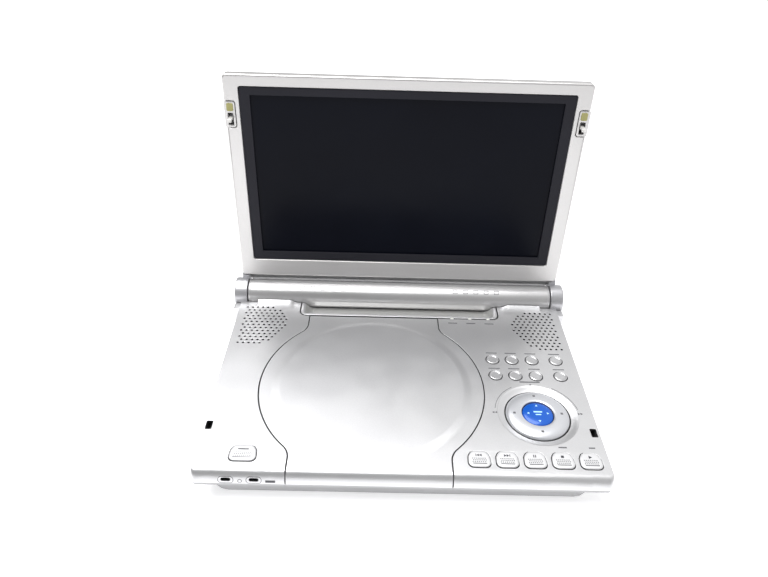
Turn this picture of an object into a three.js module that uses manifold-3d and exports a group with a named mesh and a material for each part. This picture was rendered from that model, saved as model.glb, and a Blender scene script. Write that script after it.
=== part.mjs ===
// Portable disc player: a flat base with a disc drive, a row of buttons and a battery barrel along
// its rear edge, and a screen that turns on that barrel's axis and folds down onto the base.
// Millimetres, +Z up, +X to the user's right, +Y to the rear. Each piece is written with the deck's
// top at z = 0 and the deck's front edge at y = 0. The last lines move the whole player so that the
// middle of its underside is the origin.
import * as THREE from 'three';
import { mergeVertices } from 'three/addons/utils/BufferGeometryUtils.js';
import Module from 'manifold-3d';

const wasm = await Module();
wasm.setup();

// Fits
const GAP = 0.3; // between pieces that rest on each other
const SEAM = 0.5; // visible seam round a lid or a cover
const KEY_GAP = 0.35; // round a button in its hole
const TURN_GAP = 0.1; // radial play of a shaft in its bore
const CUT = 1; // how far a cutting solid runs past the face it opens

// Overall sizes
const DECK_WIDTH = 232;
const HINGE_Y = 162; // from the deck's front edge to the axis of the barrel and the screen
const BASE_HEIGHT = 21.5; // deck top to the base's underside
const BARREL_RADIUS = 10;
const DECK_HALF = DECK_WIDTH / 2;

// Deck and base
const DECK_REAR = HINGE_Y - BARREL_RADIUS - SEAM; // rear edge of the deck plate, in front of the barrel
const DECK_PLATE = 2;
const DECK_WALL = 1.8;
const SKIRT = 7.5; // height of the deck's side walls
const NOSE = 3; // how far the front wall's foot stands in front of the deck's edge
const NOSE_ROUND = 1.5; // where the nose starts to round over, behind the deck's edge
const NOSE_PULL_Y = -1.2; // the point that the nose's curve bends towards
const NOSE_PULL_Z = -0.2;
const DECK_CORNER = 2.6;
const FAIRING_DEPTH = 5.5; // the deck's rear edge sweeps up to the barrel over this length
const FAIRING_RISE = 2.4;
const FAIRING_INNER = DECK_HALF - 42;
const FAIRING_OUTER = DECK_HALF - 12;
const SHELL_INSET = 8; // tray side walls inside the deck's sides
const SHELL_FRONT = 3.4;
const SHELL_REAR = HINGE_Y + BARREL_RADIUS - 1;
const SHELL_WALL = 2;
const SHELL_CORNER = 10;
const SHELL_FLOOR = BASE_HEIGHT - SHELL_WALL; // depth of the tray's floor below the deck
const FLANGE = 1.7; // thickness of the tray's outward flange under the skirt
const FLANGE_INSET = 0.6;
const FLANGE_REAR = DECK_REAR - 8;

// Barrel and screen hinge
const HINGE_Z = 0.9;
const BARREL_WALL = 1.1;
const BARREL_LENGTH = DECK_WIDTH - 10;
const CELL_RADIUS = BARREL_RADIUS - BARREL_WALL - 0.4;
const CELL_COUNT = 3;
const CELL_END_ROOM = 10.05; // from the barrel's end to the first cell
const CELL_LENGTH = (BARREL_LENGTH - 2 * CELL_END_ROOM) / CELL_COUNT - GAP;
const SHAFT_RADIUS = 3;
const SHAFT_HEAD = 6; // length of the shaft's head inside the barrel
const SHAFT_INSET = 1.5; // the shaft stops this far inside the knuckle's end
const KNUCKLE_RADIUS = BARREL_RADIUS + 1.1;
const KNUCKLE_LENGTH = 9.4;
const KNUCKLE_END_WALL = 1.2; // left at the end of the knuckle's bore
const KNUCKLE_GAP = 0.6; // between the barrel's end and a knuckle
const KNUCKLE_SWING = 0.5; // between a knuckle and the saddle it turns in
const EAR_DEPTH = 13; // saddle under a knuckle, measured down from the deck
const EAR_TOP = 1;
const EAR_FRONT = DECK_REAR - 7.5;
const SADDLE_INSET = [75, 21]; // ribs under the barrel, from its ends
const SADDLE_WIDTH = 2;
const SADDLE_FRONT = DECK_REAR + 3.5;

// Trough in front of the barrel
const TROUGH_HALF = DECK_HALF - 44;
const TROUGH_FRONT = DECK_REAR - 15.1;
const TROUGH_DEPTH = 7;
const TROUGH_WALL = 1.5;

// Disc cover
const DISC_X = -18.4;
const DISC_Y = 68;
const COVER_RADIUS = 70.2;
const NECK_HALF = 45.5;
const NECK_FILLET = 12;
const COVER_REAR = TROUGH_FRONT - 0.4;
const COVER_PLATE = 2.2;
const COVER_AXIS_Y = TROUGH_FRONT + 2.6;
const COVER_AXIS_Z = -3.5;
const LUG_SPREAD = 28; // lugs either side of the disc's middle
const LUG_WIDTH = 6;
const LUG_RADIUS = 2.2;
const LUG_FRONT = COVER_REAR - 5;
const LUG_DROP = 4.6;
const PIN_RADIUS = 1;
const BOSS_WIDTH = 3;
const BOSS_HALF_DEPTH = 1.8;
const BOSS_TOP = 1.6;
const CATCH_Y = 11.5;
const TAB_INSET = 7.4; // the catch's tab, inside the neck's left side
const TAB_X = DISC_X - NECK_HALF + TAB_INSET;
const TAB_WIDTH = 3;
const TAB_DEPTH = 5;
const TAB_DROP = 7.2;
const CATCH_WIDTH = 2.2;
const CATCH_THICK = 1.4;
const CATCH_TOP = 4.6;
const CATCH_SHORT = 6.6; // between the open button's stem and the catch

// Drive
const WELL_RADIUS = COVER_RADIUS - 9.4;
const WELL_DEPTH = 8.6;
const LINER_RADIUS = WELL_RADIUS - 0.8;
const LINER_PLATE = 0.9;
const CHASSIS_INSET = 1.5;
const CHASSIS_FRONT = 3;
const CHASSIS_REAR = COVER_REAR - 6;
const CHASSIS_TOP = 4.2;
const CHASSIS_WALL = 1.4;
const CHASSIS_RIM = 3; // height of the chassis's outer wall
const FRAME_REACH = WELL_RADIUS + 10.7; // the chassis's drive frame, to the right of the disc's middle
const FRAME_LEFT = 20;
const FRAME_FRONT = 25;
const FRAME_REAR = 20;
const MOTOR_HOLE = 10.5;
const SLOT_START = 14;
const SLOT_END = WELL_RADIUS + 5.2;
const SLOT_HALF = 10;
const RIB_THICK = 2;
const RIB_INNER = 10;
const RIB_OUTER = WELL_RADIUS + 8.2;
const RIB_BOTTOM = 17;
const ROD_RADIUS = 1.5;
const ROD_SPREAD = 13.5;
const DRIVE_AXIS_Z = -14; // height of the rods and of the feed screw
const SCREW_RADIUS = 1.3;
const SCREW_OFFSET = 19.5;
const NUT_GAP = 0.25;
const MOTOR_RADIUS = 9;
const MOTOR_BOTTOM = SHELL_FLOOR - GAP;
const SPINDLE_RADIUS = 1.5;
const FEED_MOTOR_RADIUS = 4.8;
const FEED_MOTOR_LENGTH = 14;
const TURNTABLE_RADIUS = 9.5;
const HUB_RADIUS = 7.3;
const HUB_CHAMFER = 0.6;
const HUB_SKIN = 1; // over the spindle's end
const TURNTABLE_BOTTOM = 8.2;
const TURNTABLE_TOP = 6.6;
const HUB_TOP = 4.2;
const SLED_LENGTH = 14;
const SLED_HALF = 16;
const SLED_TOP = 10.6;
const SLED_BOTTOM = 17.5;
const LENS_START = 24; // the lens's distance from the spindle with the sled parked
const LENS_RADIUS = 3.5;
const LENS_TOP = 8.9;
const NUT_HALF = 4;
const NUT_REACH = 23;
const NUT_HEIGHT = 5;
const POST_RADIUS = 3;
const POST_SPREAD = (WELL_RADIUS - 2.8) / Math.SQRT2;

// Controls
const KEY_TRAVEL = 0.8;
const KEY_PROUD = 1;
const KEY_FLANGE = 0.9; // how far a button's rim reaches under the deck
const KEY_RIM = 0.9; // thickness of that rim
const STEM_RADIUS = 1.5;
const KEY_BOARD_TOP = 6.5;
const KEY_BOARD_THICK = 0.8;
const SMALL_KEY_RADIUS = 4.1;
const SMALL_KEY_X = [54.8, 42, 28.7, 12.7].map((inset) => DECK_HALF - inset);
const SMALL_KEY_Y = [93.9, 78.9];
const LARGE_KEY_WIDTH = 12.5;
const LARGE_KEY_DEPTH = 11.2;
const LARGE_KEY_ROUND = 4;
const LARGE_KEY_COUNT = 5;
const LARGE_KEY_PITCH = LARGE_KEY_WIDTH + 3.15;
const LARGE_KEY_INSET = 4.55; // last large button to the deck's right side
const LARGE_KEY_END = DECK_HALF - LARGE_KEY_INSET - LARGE_KEY_WIDTH / 2;
const LARGE_KEY_START = LARGE_KEY_END - (LARGE_KEY_COUNT - 1) * LARGE_KEY_PITCH;
const LARGE_KEY_Y = 11;
const OPEN_KEY_X = 26.9 - DECK_HALF;
const OPEN_KEY_Y = 11.8;
const OPEN_KEY_WIDTH = 15.2;
const OPEN_KEY_DEPTH = 11;
const OPEN_STEM_SHIFT = -3;
const OPEN_STEM_BOTTOM = 5;
const RING_RADIUS = 19.1;
const RING_BORE = 9.8;
const RING_PROUD = 1.1;
const RING_SLOPE = 2; // width of the ring's sloping rim
const RING_LIP = 1;
const DIAL_X = DECK_HALF - 33.8;
const DIAL_Y = 45.9;
const DISH_RADIUS = RING_RADIUS + 2.8;
const DISH_WALL = 2.1;
const DISH_FALL = 1; // the dish's rim slopes down by this much
const DISH_FLOOR = 3.8;
const DISH_PLATE = 1;
const CURSOR_RADIUS = RING_BORE - 0.5;
const CURSOR_EDGE = 0.2; // height of the cursor button's rim
const CURSOR_PROUD = 1.9;
const CURSOR_STEM = 2.4;
const LAMP_X = [34.1, 21.2, 8.2].map((inset) => TROUGH_HALF - inset);
const LAMP_Y = TROUGH_FRONT - 1.8;
const LAMP_WIDTH = 2.6;
const LAMP_DEPTH = 1.4;
const LAMP_BAR = 1.5; // thickness of the bar that joins the lamps
const LATCH_X = DECK_HALF - 3.5;
const LATCH_WIDTH = 3.8;
const LATCH_DEPTH = 6.4;
const SLOT_CORNER = 0.5;
const JACK_X = [19.5, 34.8].map((inset) => inset - DECK_HALF);
const JACK_Z = -4.6;
const JACK_RADIUS = 2.2;
const JACK_BORE = 1.75;
const JACK_REAR = 4.5;
const JACK_FRONT = -2.2;
const SPEAKER_X = DECK_HALF - 20.2;
const SPEAKER_Y = DECK_REAR - 25.5;
const SPEAKER_RADIUS = 13.5;
const SPEAKER_DEPTH = 11;
const MAGNET_RADIUS = 7.4;
const MAGNET_HEIGHT = 5;
const SPEAKER_RIM = 1.5;
const SPEAKER_BASKET = 2.5; // height of the speaker's outer wall
const CONE_RADIUS = 4.7;
const CONE_DEPTH = 3.5;
const CAP_RISE = 0.7;
const INLET_Y = 75;
const INLET_Z = -12.5;
const INLET_RADIUS = 3;
const INLET_BORE = 2.2;
const INLET_PIN = 0.6;
const INLET_LENGTH = 10;
const BOARD_LEFT = DECK_HALF - 40;
const BOARD_RIGHT = DECK_HALF - 12;
const BOARD_FRONT = 22;
const BOARD_REAR = 111;
const BOARD_BOTTOM = SHELL_FLOOR - GAP;
const BOARD_THICK = 1.6;
const CHIP_HEIGHT = 1.8;
const CHIP_SIZE = 12;
const CHIP_INSET = 5;
const CHIP_PLACES = [0.2, 0.45, 0.85]; // shares of the board's length
const FOOT_RADIUS = 5;
const FOOT_HEIGHT = 2;
const FOOT_RECESS = 0.7;
const FOOT_X = DECK_HALF - 22;
const FOOT_FRONT_Y = 19;
const FOOT_REAR_Y = HINGE_Y - 5;

// Screen, in its own frame: origin on the hinge axis, z up the screen, face towards -y
const SCREEN_LEAN = 2.9; // degrees back from upright
const SCREEN_WIDTH = DECK_WIDTH;
const SCREEN_RISE = BARREL_RADIUS + 3.9; // lower edge above the hinge axis
const SCREEN_HEIGHT = HINGE_Y - SCREEN_RISE - 3.1; // its upper edge closes 3.1 behind the deck's front
const SCREEN_DEPTH = 9;
const SCREEN_FACE = 1.9; // face plane behind the hinge axis
const SCREEN_CORNER = 3;
const BEZEL_PLATE = 1.8;
const WINDOW_WIDTH = SCREEN_WIDTH - 19;
const WINDOW_BOTTOM = 13.5; // above the lower edge
const WINDOW_TOP = SCREEN_HEIGHT - 7.35;
const WINDOW_CORNER = 2;
const ACTIVE_WIDTH = SCREEN_WIDTH - 32.8;
const ACTIVE_BOTTOM = 20.1;
const ACTIVE_TOP = SCREEN_HEIGHT - 12.85;
const ACTIVE_CORNER = 1;
const MASK_RECESS = 0.6;
const PANEL_MARGIN = 4.5;
const PANEL_THICK = 2.2;
const TRAY_THICK = 1.8;
const HOOK_PLATE_WIDTH = 6.2;
const HOOK_PLATE_BOTTOM = SCREEN_HEIGHT - 33.5;
const HOOK_PLATE_TOP = SCREEN_HEIGHT - 16.9;
const HOOK_RISE = SCREEN_HEIGHT - 28.9; // above the screen's lower edge
const HOOK_WIDTH = 2.4;
const HOOK_HEIGHT = 4.2;
const HOOK_REACH = 5;
const HOOK_SINK = 0.2;
const HOOK_PLATE_THICK = 1.4;
const NECK_WIDTH = 5.4;
const NECK_FRONT = 0.5;
const NECK_BACK = 9.5;
const TONGUE_WIDTH = 2.3;
const TONGUE_FRONT = 4;
const TONGUE_BACK = 7;
const TONGUE_BOTTOM = 8;
const TONGUE_TOP = SCREEN_RISE + 20.1;

// Values that follow from the sizes above
const BARREL_HALF = BARREL_LENGTH / 2;
const KNUCKLE_START = BARREL_HALF + KNUCKLE_GAP;
const KNUCKLE_END = KNUCKLE_START + KNUCKLE_LENGTH;
const SHELL_HALF = DECK_HALF - SHELL_INSET;
const SHELL_TOP = -SKIRT - GAP;
const LATCH_Y = HINGE_Y - SCREEN_RISE - HOOK_RISE;
const SCREEN_BACK = SCREEN_FACE + SCREEN_DEPTH;

// Materials
function finish(color, roughness, metalness) {
  return new THREE.MeshStandardMaterial({ color, roughness, metalness });
}

const SILVER = 0xc6c6c9;
const LIGHT_SILVER = 0xd4d4d6;
const GREY = 0x77777a;
const BLACK = 0x16171a;
const STEEL = 0xa9adb2;

// Geometry helpers. Each returns a solid that can be cut and joined.
const SIDES = 24;

function toSolid(geometry) {
  const bare = geometry.index ? geometry.toNonIndexed() : geometry.clone();
  bare.deleteAttribute('normal');
  bare.deleteAttribute('uv');
  const merged = mergeVertices(bare, 1e-4);
  const vertProperties = new Float32Array(merged.attributes.position.array);
  const triVerts = new Uint32Array(merged.index.array);
  return new wasm.Manifold(new wasm.Mesh({ numProp: 3, vertProperties, triVerts }));
}

function toGeometry(solid) {
  const mesh = solid.getMesh();
  const geometry = new THREE.BufferGeometry();
  geometry.setAttribute('position', new THREE.BufferAttribute(mesh.vertProperties, 3));
  geometry.setIndex(new THREE.BufferAttribute(mesh.triVerts, 1));
  geometry.computeVertexNormals();
  return geometry;
}

function box(x0, x1, y0, y1, z0, z1) {
  const geometry = new THREE.BoxGeometry(x1 - x0, y1 - y0, z1 - z0);
  geometry.translate((x0 + x1) / 2, (y0 + y1) / 2, (z0 + z1) / 2);
  return toSolid(geometry);
}

function discZ(radius, z0, z1, x, y, sides = SIDES) {
  const geometry = new THREE.CylinderGeometry(radius, radius, z1 - z0, sides);
  geometry.rotateX(Math.PI / 2);
  geometry.translate(x, y, (z0 + z1) / 2);
  return toSolid(geometry);
}

function rodX(radius, x0, x1, y, z, sides = SIDES) {
  const geometry = new THREE.CylinderGeometry(radius, radius, x1 - x0, sides);
  geometry.rotateZ(Math.PI / 2);
  geometry.translate((x0 + x1) / 2, y, z);
  return toSolid(geometry);
}

function rodY(radius, y0, y1, x, z, sides = SIDES) {
  const geometry = new THREE.CylinderGeometry(radius, radius, y1 - y0, sides);
  geometry.translate(x, (y0 + y1) / 2, z);
  return toSolid(geometry);
}

function prismZ(shape, z0, z1, curveSegments = 2) {
  const geometry = new THREE.ExtrudeGeometry(shape, { depth: z1 - z0, bevelEnabled: false, curveSegments });
  geometry.translate(0, 0, z0);
  return toSolid(geometry);
}

// The shape's x runs along y and its y along z; it is drawn out along x.
function prismX(shape, x0, x1, curveSegments = 4) {
  const geometry = new THREE.ExtrudeGeometry(shape, { depth: x1 - x0, bevelEnabled: false, curveSegments });
  const basis = new THREE.Matrix4();
  basis.makeBasis(new THREE.Vector3(0, 1, 0), new THREE.Vector3(0, 0, 1), new THREE.Vector3(1, 0, 0));
  geometry.applyMatrix4(basis);
  geometry.translate(x0, 0, 0);
  return toSolid(geometry);
}

// The shape's y runs up the screen; it is drawn out along y from the front to the back.
function prismY(shape, y0, y1, curveSegments = 2) {
  const geometry = new THREE.ExtrudeGeometry(shape, { depth: y1 - y0, bevelEnabled: false, curveSegments });
  geometry.rotateX(Math.PI / 2);
  geometry.translate(0, y1, 0);
  return toSolid(geometry);
}

function lathe(profile, x, y, sides = SIDES) {
  const points = profile.map(([r, z]) => new THREE.Vector2(r, z));
  const geometry = new THREE.LatheGeometry(points, sides);
  geometry.rotateX(Math.PI / 2);
  geometry.translate(x, y, 0);
  return toSolid(geometry);
}

function roundedRect(x0, x1, y0, y1, radius) {
  const shape = new THREE.Shape();
  shape.moveTo(x0 + radius, y0);
  shape.lineTo(x1 - radius, y0);
  shape.absarc(x1 - radius, y0 + radius, radius, -Math.PI / 2, 0, false);
  shape.lineTo(x1, y1 - radius);
  shape.absarc(x1 - radius, y1 - radius, radius, 0, Math.PI / 2, false);
  shape.lineTo(x0 + radius, y1);
  shape.absarc(x0 + radius, y1 - radius, radius, Math.PI / 2, Math.PI, false);
  shape.lineTo(x0, y0 + radius);
  shape.absarc(x0 + radius, y0 + radius, radius, Math.PI, 1.5 * Math.PI, false);
  return shape;
}

function centredRect(x, y, width, depth, radius) {
  return roundedRect(x - width / 2, x + width / 2, y - depth / 2, y + depth / 2, radius);
}

// Two straight necks, front and rear, joined to a round middle by hollow fillets.
function coverOutline(grow, front, rear) {
  const radius = COVER_RADIUS + grow;
  const half = NECK_HALF + grow;
  const fillet = NECK_FILLET - grow;
  const across = half + fillet;
  const along = Math.sqrt((radius + fillet) ** 2 - across ** 2);
  const tangent = Math.atan2(along, across);
  const shape = new THREE.Shape();
  shape.moveTo(DISC_X + half, front);
  shape.lineTo(DISC_X + half, DISC_Y - along);
  shape.absarc(DISC_X + across, DISC_Y - along, fillet, Math.PI, Math.PI - tangent, true);
  shape.absarc(DISC_X, DISC_Y, radius, -tangent, tangent, false);
  shape.absarc(DISC_X + across, DISC_Y + along, fillet, Math.PI + tangent, Math.PI, true);
  shape.lineTo(DISC_X + half, rear);
  shape.lineTo(DISC_X - half, rear);
  shape.lineTo(DISC_X - half, DISC_Y + along);
  shape.absarc(DISC_X - across, DISC_Y + along, fillet, 0, -tangent, true);
  shape.absarc(DISC_X, DISC_Y, radius, Math.PI - tangent, Math.PI + tangent, false);
  shape.absarc(DISC_X - across, DISC_Y - along, fillet, tangent, 0, true);
  shape.lineTo(DISC_X - half, front);
  return shape;
}

function union(solids) {
  return solids.reduce((joined, next) => joined.add(next));
}

function cut(solid, tools) {
  return tools.reduce((left, tool) => left.subtract(tool), solid);
}

const player = new THREE.Group();
const screen = new THREE.Group();
screen.position.set(0, HINGE_Y, HINGE_Z);
screen.rotation.x = -THREE.MathUtils.degToRad(SCREEN_LEAN);
player.add(screen);

function add(name, solid, material, parent = player) {
  const mesh = new THREE.Mesh(toGeometry(solid), material);
  mesh.name = name;
  parent.add(mesh);
}

// A deck block whose front rounds down into the nose.
function deckBlock(inset, bottom) {
  const front = -NOSE + inset;
  const plan = roundedRect(-DECK_HALF + inset, DECK_HALF - inset, front, DECK_REAR, DECK_CORNER - inset);
  const profile = new THREE.Shape();
  profile.moveTo(DECK_REAR + CUT, bottom);
  profile.lineTo(DECK_REAR + CUT, -inset);
  profile.lineTo(NOSE_ROUND + inset, -inset);
  profile.quadraticCurveTo(NOSE_PULL_Y + inset, NOSE_PULL_Z - inset, front, -SKIRT + NOSE_ROUND);
  profile.lineTo(front, bottom);
  const body = prismZ(plan, bottom, 0);
  return body.intersect(prismX(profile, -DECK_HALF - CUT, DECK_HALF + CUT));
}

function deckShell() {
  return deckBlock(0, -SKIRT).subtract(deckBlock(DECK_WALL, -SKIRT - CUT));
}

function keyOutlines() {
  const holes = [];
  for (let i = 0; i < LARGE_KEY_COUNT; i += 1) {
    const x = LARGE_KEY_START + i * LARGE_KEY_PITCH;
    holes.push({
      name: `transport_button_${i + 1}`,
      x,
      y: LARGE_KEY_Y,
      outline: (grow) => centredRect(
        x,
        LARGE_KEY_Y,
        LARGE_KEY_WIDTH + 2 * grow,
        LARGE_KEY_DEPTH + 2 * grow,
        LARGE_KEY_ROUND + grow,
      ),
      segments: 2,
    });
  }
  SMALL_KEY_Y.forEach((y, row) => {
    SMALL_KEY_X.forEach((x, column) => {
      holes.push({
        name: `menu_button_${row * SMALL_KEY_X.length + column + 1}`,
        x,
        y,
        outline: (grow) => new THREE.Shape().absarc(x, y, SMALL_KEY_RADIUS + grow, 0, 2 * Math.PI, false),
        segments: 8,
      });
    });
  });
  return holes;
}

function openKeyOutline(grow) {
  return centredRect(
    OPEN_KEY_X,
    OPEN_KEY_Y,
    OPEN_KEY_WIDTH + 2 * grow,
    OPEN_KEY_DEPTH + 2 * grow,
    LARGE_KEY_ROUND + grow,
  );
}

const KEYS = keyOutlines();
const LUG_X = [DISC_X - LUG_SPREAD, DISC_X + LUG_SPREAD];

function trough() {
  const outer = TROUGH_HALF + TROUGH_WALL;
  const body = box(
    -outer,
    outer,
    TROUGH_FRONT - TROUGH_WALL,
    DECK_REAR,
    -TROUGH_DEPTH - TROUGH_WALL,
    -DECK_PLATE / 2,
  );
  const bosses = LUG_X.flatMap((x) => [-1, 1].map((side) => {
    const near = LUG_WIDTH / 2 + GAP;
    const x0 = side > 0 ? x + near : x - near - BOSS_WIDTH;
    return box(
      x0,
      x0 + BOSS_WIDTH,
      COVER_AXIS_Y - BOSS_HALF_DEPTH,
      COVER_AXIS_Y + BOSS_HALF_DEPTH,
      -TROUGH_DEPTH - TROUGH_WALL / 2,
      -BOSS_TOP,
    );
  }));
  const hollow = box(-TROUGH_HALF, TROUGH_HALF, TROUGH_FRONT, DECK_REAR + CUT, -TROUGH_DEPTH, CUT);
  return { body, bosses, hollow };
}

function knuckleEar(side) {
  const inner = SHELL_HALF + GAP;
  const x0 = side > 0 ? inner : -KNUCKLE_END;
  const x1 = side > 0 ? KNUCKLE_END : -inner;
  return box(x0, x1, EAR_FRONT, SHELL_REAR, -EAR_DEPTH, -EAR_TOP);
}

// The deck's rear edge between the trough and an ear, swept up in a hollow curve to the barrel.
function fairing(side) {
  const front = DECK_REAR - FAIRING_DEPTH;
  const profile = new THREE.Shape();
  profile.moveTo(front, -DECK_PLATE / 2);
  profile.lineTo(front, 0);
  profile.quadraticCurveTo(DECK_REAR - FAIRING_DEPTH / 3, 0, DECK_REAR, FAIRING_RISE);
  profile.lineTo(DECK_REAR, -DECK_PLATE / 2);
  const ends = [side * FAIRING_INNER, side * FAIRING_OUTER];
  return prismX(profile, Math.min(...ends), Math.max(...ends));
}

function topDeck() {
  const { body, bosses, hollow } = trough();
  const ears = [-1, 1].map(knuckleEar);
  const swing = KNUCKLE_RADIUS + KNUCKLE_SWING;
  const reach = KNUCKLE_END + CUT;
  const start = BARREL_HALF + KNUCKLE_GAP / 2;
  const knuckleRoom = [
    rodX(swing, start, reach, HINGE_Y, HINGE_Z),
    rodX(swing, -reach, -start, HINGE_Y, HINGE_Z),
    rodX(BARREL_RADIUS + SEAM, -start - CUT, start + CUT, HINGE_Y, HINGE_Z),
  ];
  const keyHoles = KEYS.map((key) => prismZ(key.outline(KEY_GAP), -DECK_PLATE - CUT, CUT, key.segments));
  const latchSlots = [-1, 1].map((side) => prismZ(
    centredRect(side * LATCH_X, LATCH_Y, LATCH_WIDTH, LATCH_DEPTH, SLOT_CORNER),
    -DECK_PLATE - CUT,
    CUT,
  ));
  const lampHoles = LAMP_X.map((x) => prismZ(
    centredRect(x, LAMP_Y, LAMP_WIDTH + 2 * GAP, LAMP_DEPTH + 2 * GAP, GAP),
    -DECK_PLATE - CUT,
    CUT,
  ));
  const jackHoles = JACK_X.map((x) => rodY(JACK_RADIUS + GAP, -NOSE - CUT, DECK_WALL, x, JACK_Z));
  const lugRoom = LUG_X.map((x) => box(
    x - LUG_WIDTH / 2 - GAP,
    x + LUG_WIDTH / 2 + GAP,
    TROUGH_FRONT - TROUGH_WALL - CUT,
    TROUGH_FRONT + CUT,
    COVER_AXIS_Z - LUG_RADIUS - SEAM,
    CUT,
  ));
  const pinBores = LUG_X.map((x) => {
    const half = LUG_WIDTH / 2 + GAP + BOSS_WIDTH + CUT;
    return rodX(PIN_RADIUS + TURN_GAP, x - half, x + half, COVER_AXIS_Y, COVER_AXIS_Z, 16);
  });
  const solid = union([deckShell(), body, ...ears, fairing(-1), fairing(1)]);
  const opened = cut(solid, [
    hollow,
    prismZ(coverOutline(SEAM, -NOSE - CUT, COVER_REAR + SEAM), -COVER_PLATE - SEAM, CUT, 6),
    box(
      DISC_X - NECK_HALF - SEAM,
      DISC_X + NECK_HALF + SEAM,
      -NOSE - CUT,
      NOSE_ROUND + CUT,
      -SKIRT - CUT,
      CUT,
    ),
    prismZ(openKeyOutline(KEY_GAP), -DECK_PLATE - CUT, CUT),
    discZ(DISH_RADIUS + GAP, -DECK_PLATE - CUT, CUT, DIAL_X, DIAL_Y, 32),
    ...knuckleRoom,
    ...keyHoles,
    ...latchSlots,
    ...lampHoles,
    ...jackHoles,
    ...lugRoom,
  ]);
  return cut(union([opened, ...bosses]), pinBores);
}

function discCover() {
  const outline = coverOutline(0, -NOSE - CUT, COVER_REAR);
  const plate = deckBlock(0, -SKIRT).subtract(deckBlock(COVER_PLATE, -SKIRT - CUT));
  const skin = plate.intersect(prismZ(outline, -SKIRT - CUT, CUT, 6));
  const lugs = LUG_X.map((x) => {
    const x0 = x - LUG_WIDTH / 2;
    const x1 = x + LUG_WIDTH / 2;
    const arm = box(x0, x1, LUG_FRONT, COVER_AXIS_Y, -LUG_DROP, -COVER_PLATE / 2);
    const trim = box(x0 - CUT, x1 + CUT, COVER_REAR, COVER_AXIS_Y + CUT, -COVER_PLATE, CUT);
    return arm.subtract(trim).add(rodX(LUG_RADIUS, x0, x1, COVER_AXIS_Y, COVER_AXIS_Z, 20));
  });
  const bores = LUG_X.map((x) => rodX(
    PIN_RADIUS + TURN_GAP,
    x - LUG_WIDTH,
    x + LUG_WIDTH,
    COVER_AXIS_Y,
    COVER_AXIS_Z,
    16,
  ));
  const tab = box(
    TAB_X - TAB_WIDTH / 2,
    TAB_X + TAB_WIDTH / 2,
    CATCH_Y - TAB_DEPTH / 2,
    CATCH_Y + TAB_DEPTH / 2,
    -TAB_DROP,
    -COVER_PLATE / 2,
  );
  const window = box(
    TAB_X - TAB_WIDTH,
    TAB_X + TAB_WIDTH,
    CATCH_Y - CATCH_WIDTH / 2 - GAP,
    CATCH_Y + CATCH_WIDTH / 2 + GAP,
    -CATCH_TOP - CATCH_THICK - GAP,
    -CATCH_TOP + GAP,
  );
  return cut(union([skin, ...lugs, tab]), [...bores, window]);
}

function bottomShell() {
  const tray = roundedRect(-SHELL_HALF, SHELL_HALF, SHELL_FRONT, SHELL_REAR, SHELL_CORNER);
  const inside = roundedRect(
    -SHELL_HALF + SHELL_WALL,
    SHELL_HALF - SHELL_WALL,
    SHELL_FRONT + SHELL_WALL,
    SHELL_REAR - SHELL_WALL,
    SHELL_CORNER - SHELL_WALL,
  );
  const flange = roundedRect(
    -DECK_HALF + FLANGE_INSET,
    DECK_HALF - FLANGE_INSET,
    -NOSE + FLANGE_INSET,
    FLANGE_REAR,
    DECK_CORNER - FLANGE_INSET,
  );
  const floor = -SHELL_FLOOR;
  const walls = prismZ(tray, -BASE_HEIGHT, SHELL_TOP);
  const outer = walls.add(prismZ(flange, SHELL_TOP - FLANGE, SHELL_TOP));
  const hollow = cut(outer, [prismZ(inside, floor, SHELL_TOP + CUT)]);
  const posts = [-1, 1].flatMap((sx) => [-1, 1].map((sy) => discZ(
    POST_RADIUS,
    floor - CUT,
    -WELL_DEPTH - CHASSIS_WALL - GAP,
    DISC_X + sx * POST_SPREAD,
    DISC_Y + sy * POST_SPREAD,
    16,
  )));
  const seat = HINGE_Z - BARREL_RADIUS;
  const saddles = SADDLE_INSET.map((inset) => BARREL_HALF - inset).flatMap((x) => [-x, x].map((at) => box(
    at - SADDLE_WIDTH / 2,
    at + SADDLE_WIDTH / 2,
    SADDLE_FRONT,
    SHELL_REAR - SHELL_WALL + CUT,
    floor - CUT,
    seat,
  )));
  const footRecess = footPlaces().map(([, x, y]) => discZ(
    FOOT_RADIUS + GAP,
    -BASE_HEIGHT - CUT,
    -BASE_HEIGHT + FOOT_RECESS,
    x,
    y,
    24,
  ));
  const inletHole = rodX(
    INLET_RADIUS + GAP,
    SHELL_HALF - SHELL_WALL - CUT,
    SHELL_HALF + CUT,
    INLET_Y,
    INLET_Z,
    24,
  );
  const barrelRoom = rodX(BARREL_RADIUS + GAP, -BARREL_HALF, BARREL_HALF, HINGE_Y, HINGE_Z);
  return cut(union([hollow, ...posts, ...saddles]), [...footRecess, inletHole, barrelRoom]);
}

function footPlaces() {
  return [
    ['foot_front_left', -FOOT_X, FOOT_FRONT_Y],
    ['foot_front_right', FOOT_X, FOOT_FRONT_Y],
    ['foot_rear_left', -FOOT_X, FOOT_REAR_Y],
    ['foot_rear_right', FOOT_X, FOOT_REAR_Y],
  ];
}

function addBase() {
  add('bottom_shell', bottomShell(), finish(GREY, 0.6, 0.1));
  add('top_deck', topDeck(), finish(SILVER, 0.35, 0.6));
  footPlaces().forEach(([name, x, y]) => {
    const top = -BASE_HEIGHT + FOOT_RECESS - GAP;
    add(name, discZ(FOOT_RADIUS, -BASE_HEIGHT - FOOT_HEIGHT, top, x, y, 24), finish(BLACK, 0.9, 0));
  });
}

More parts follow.
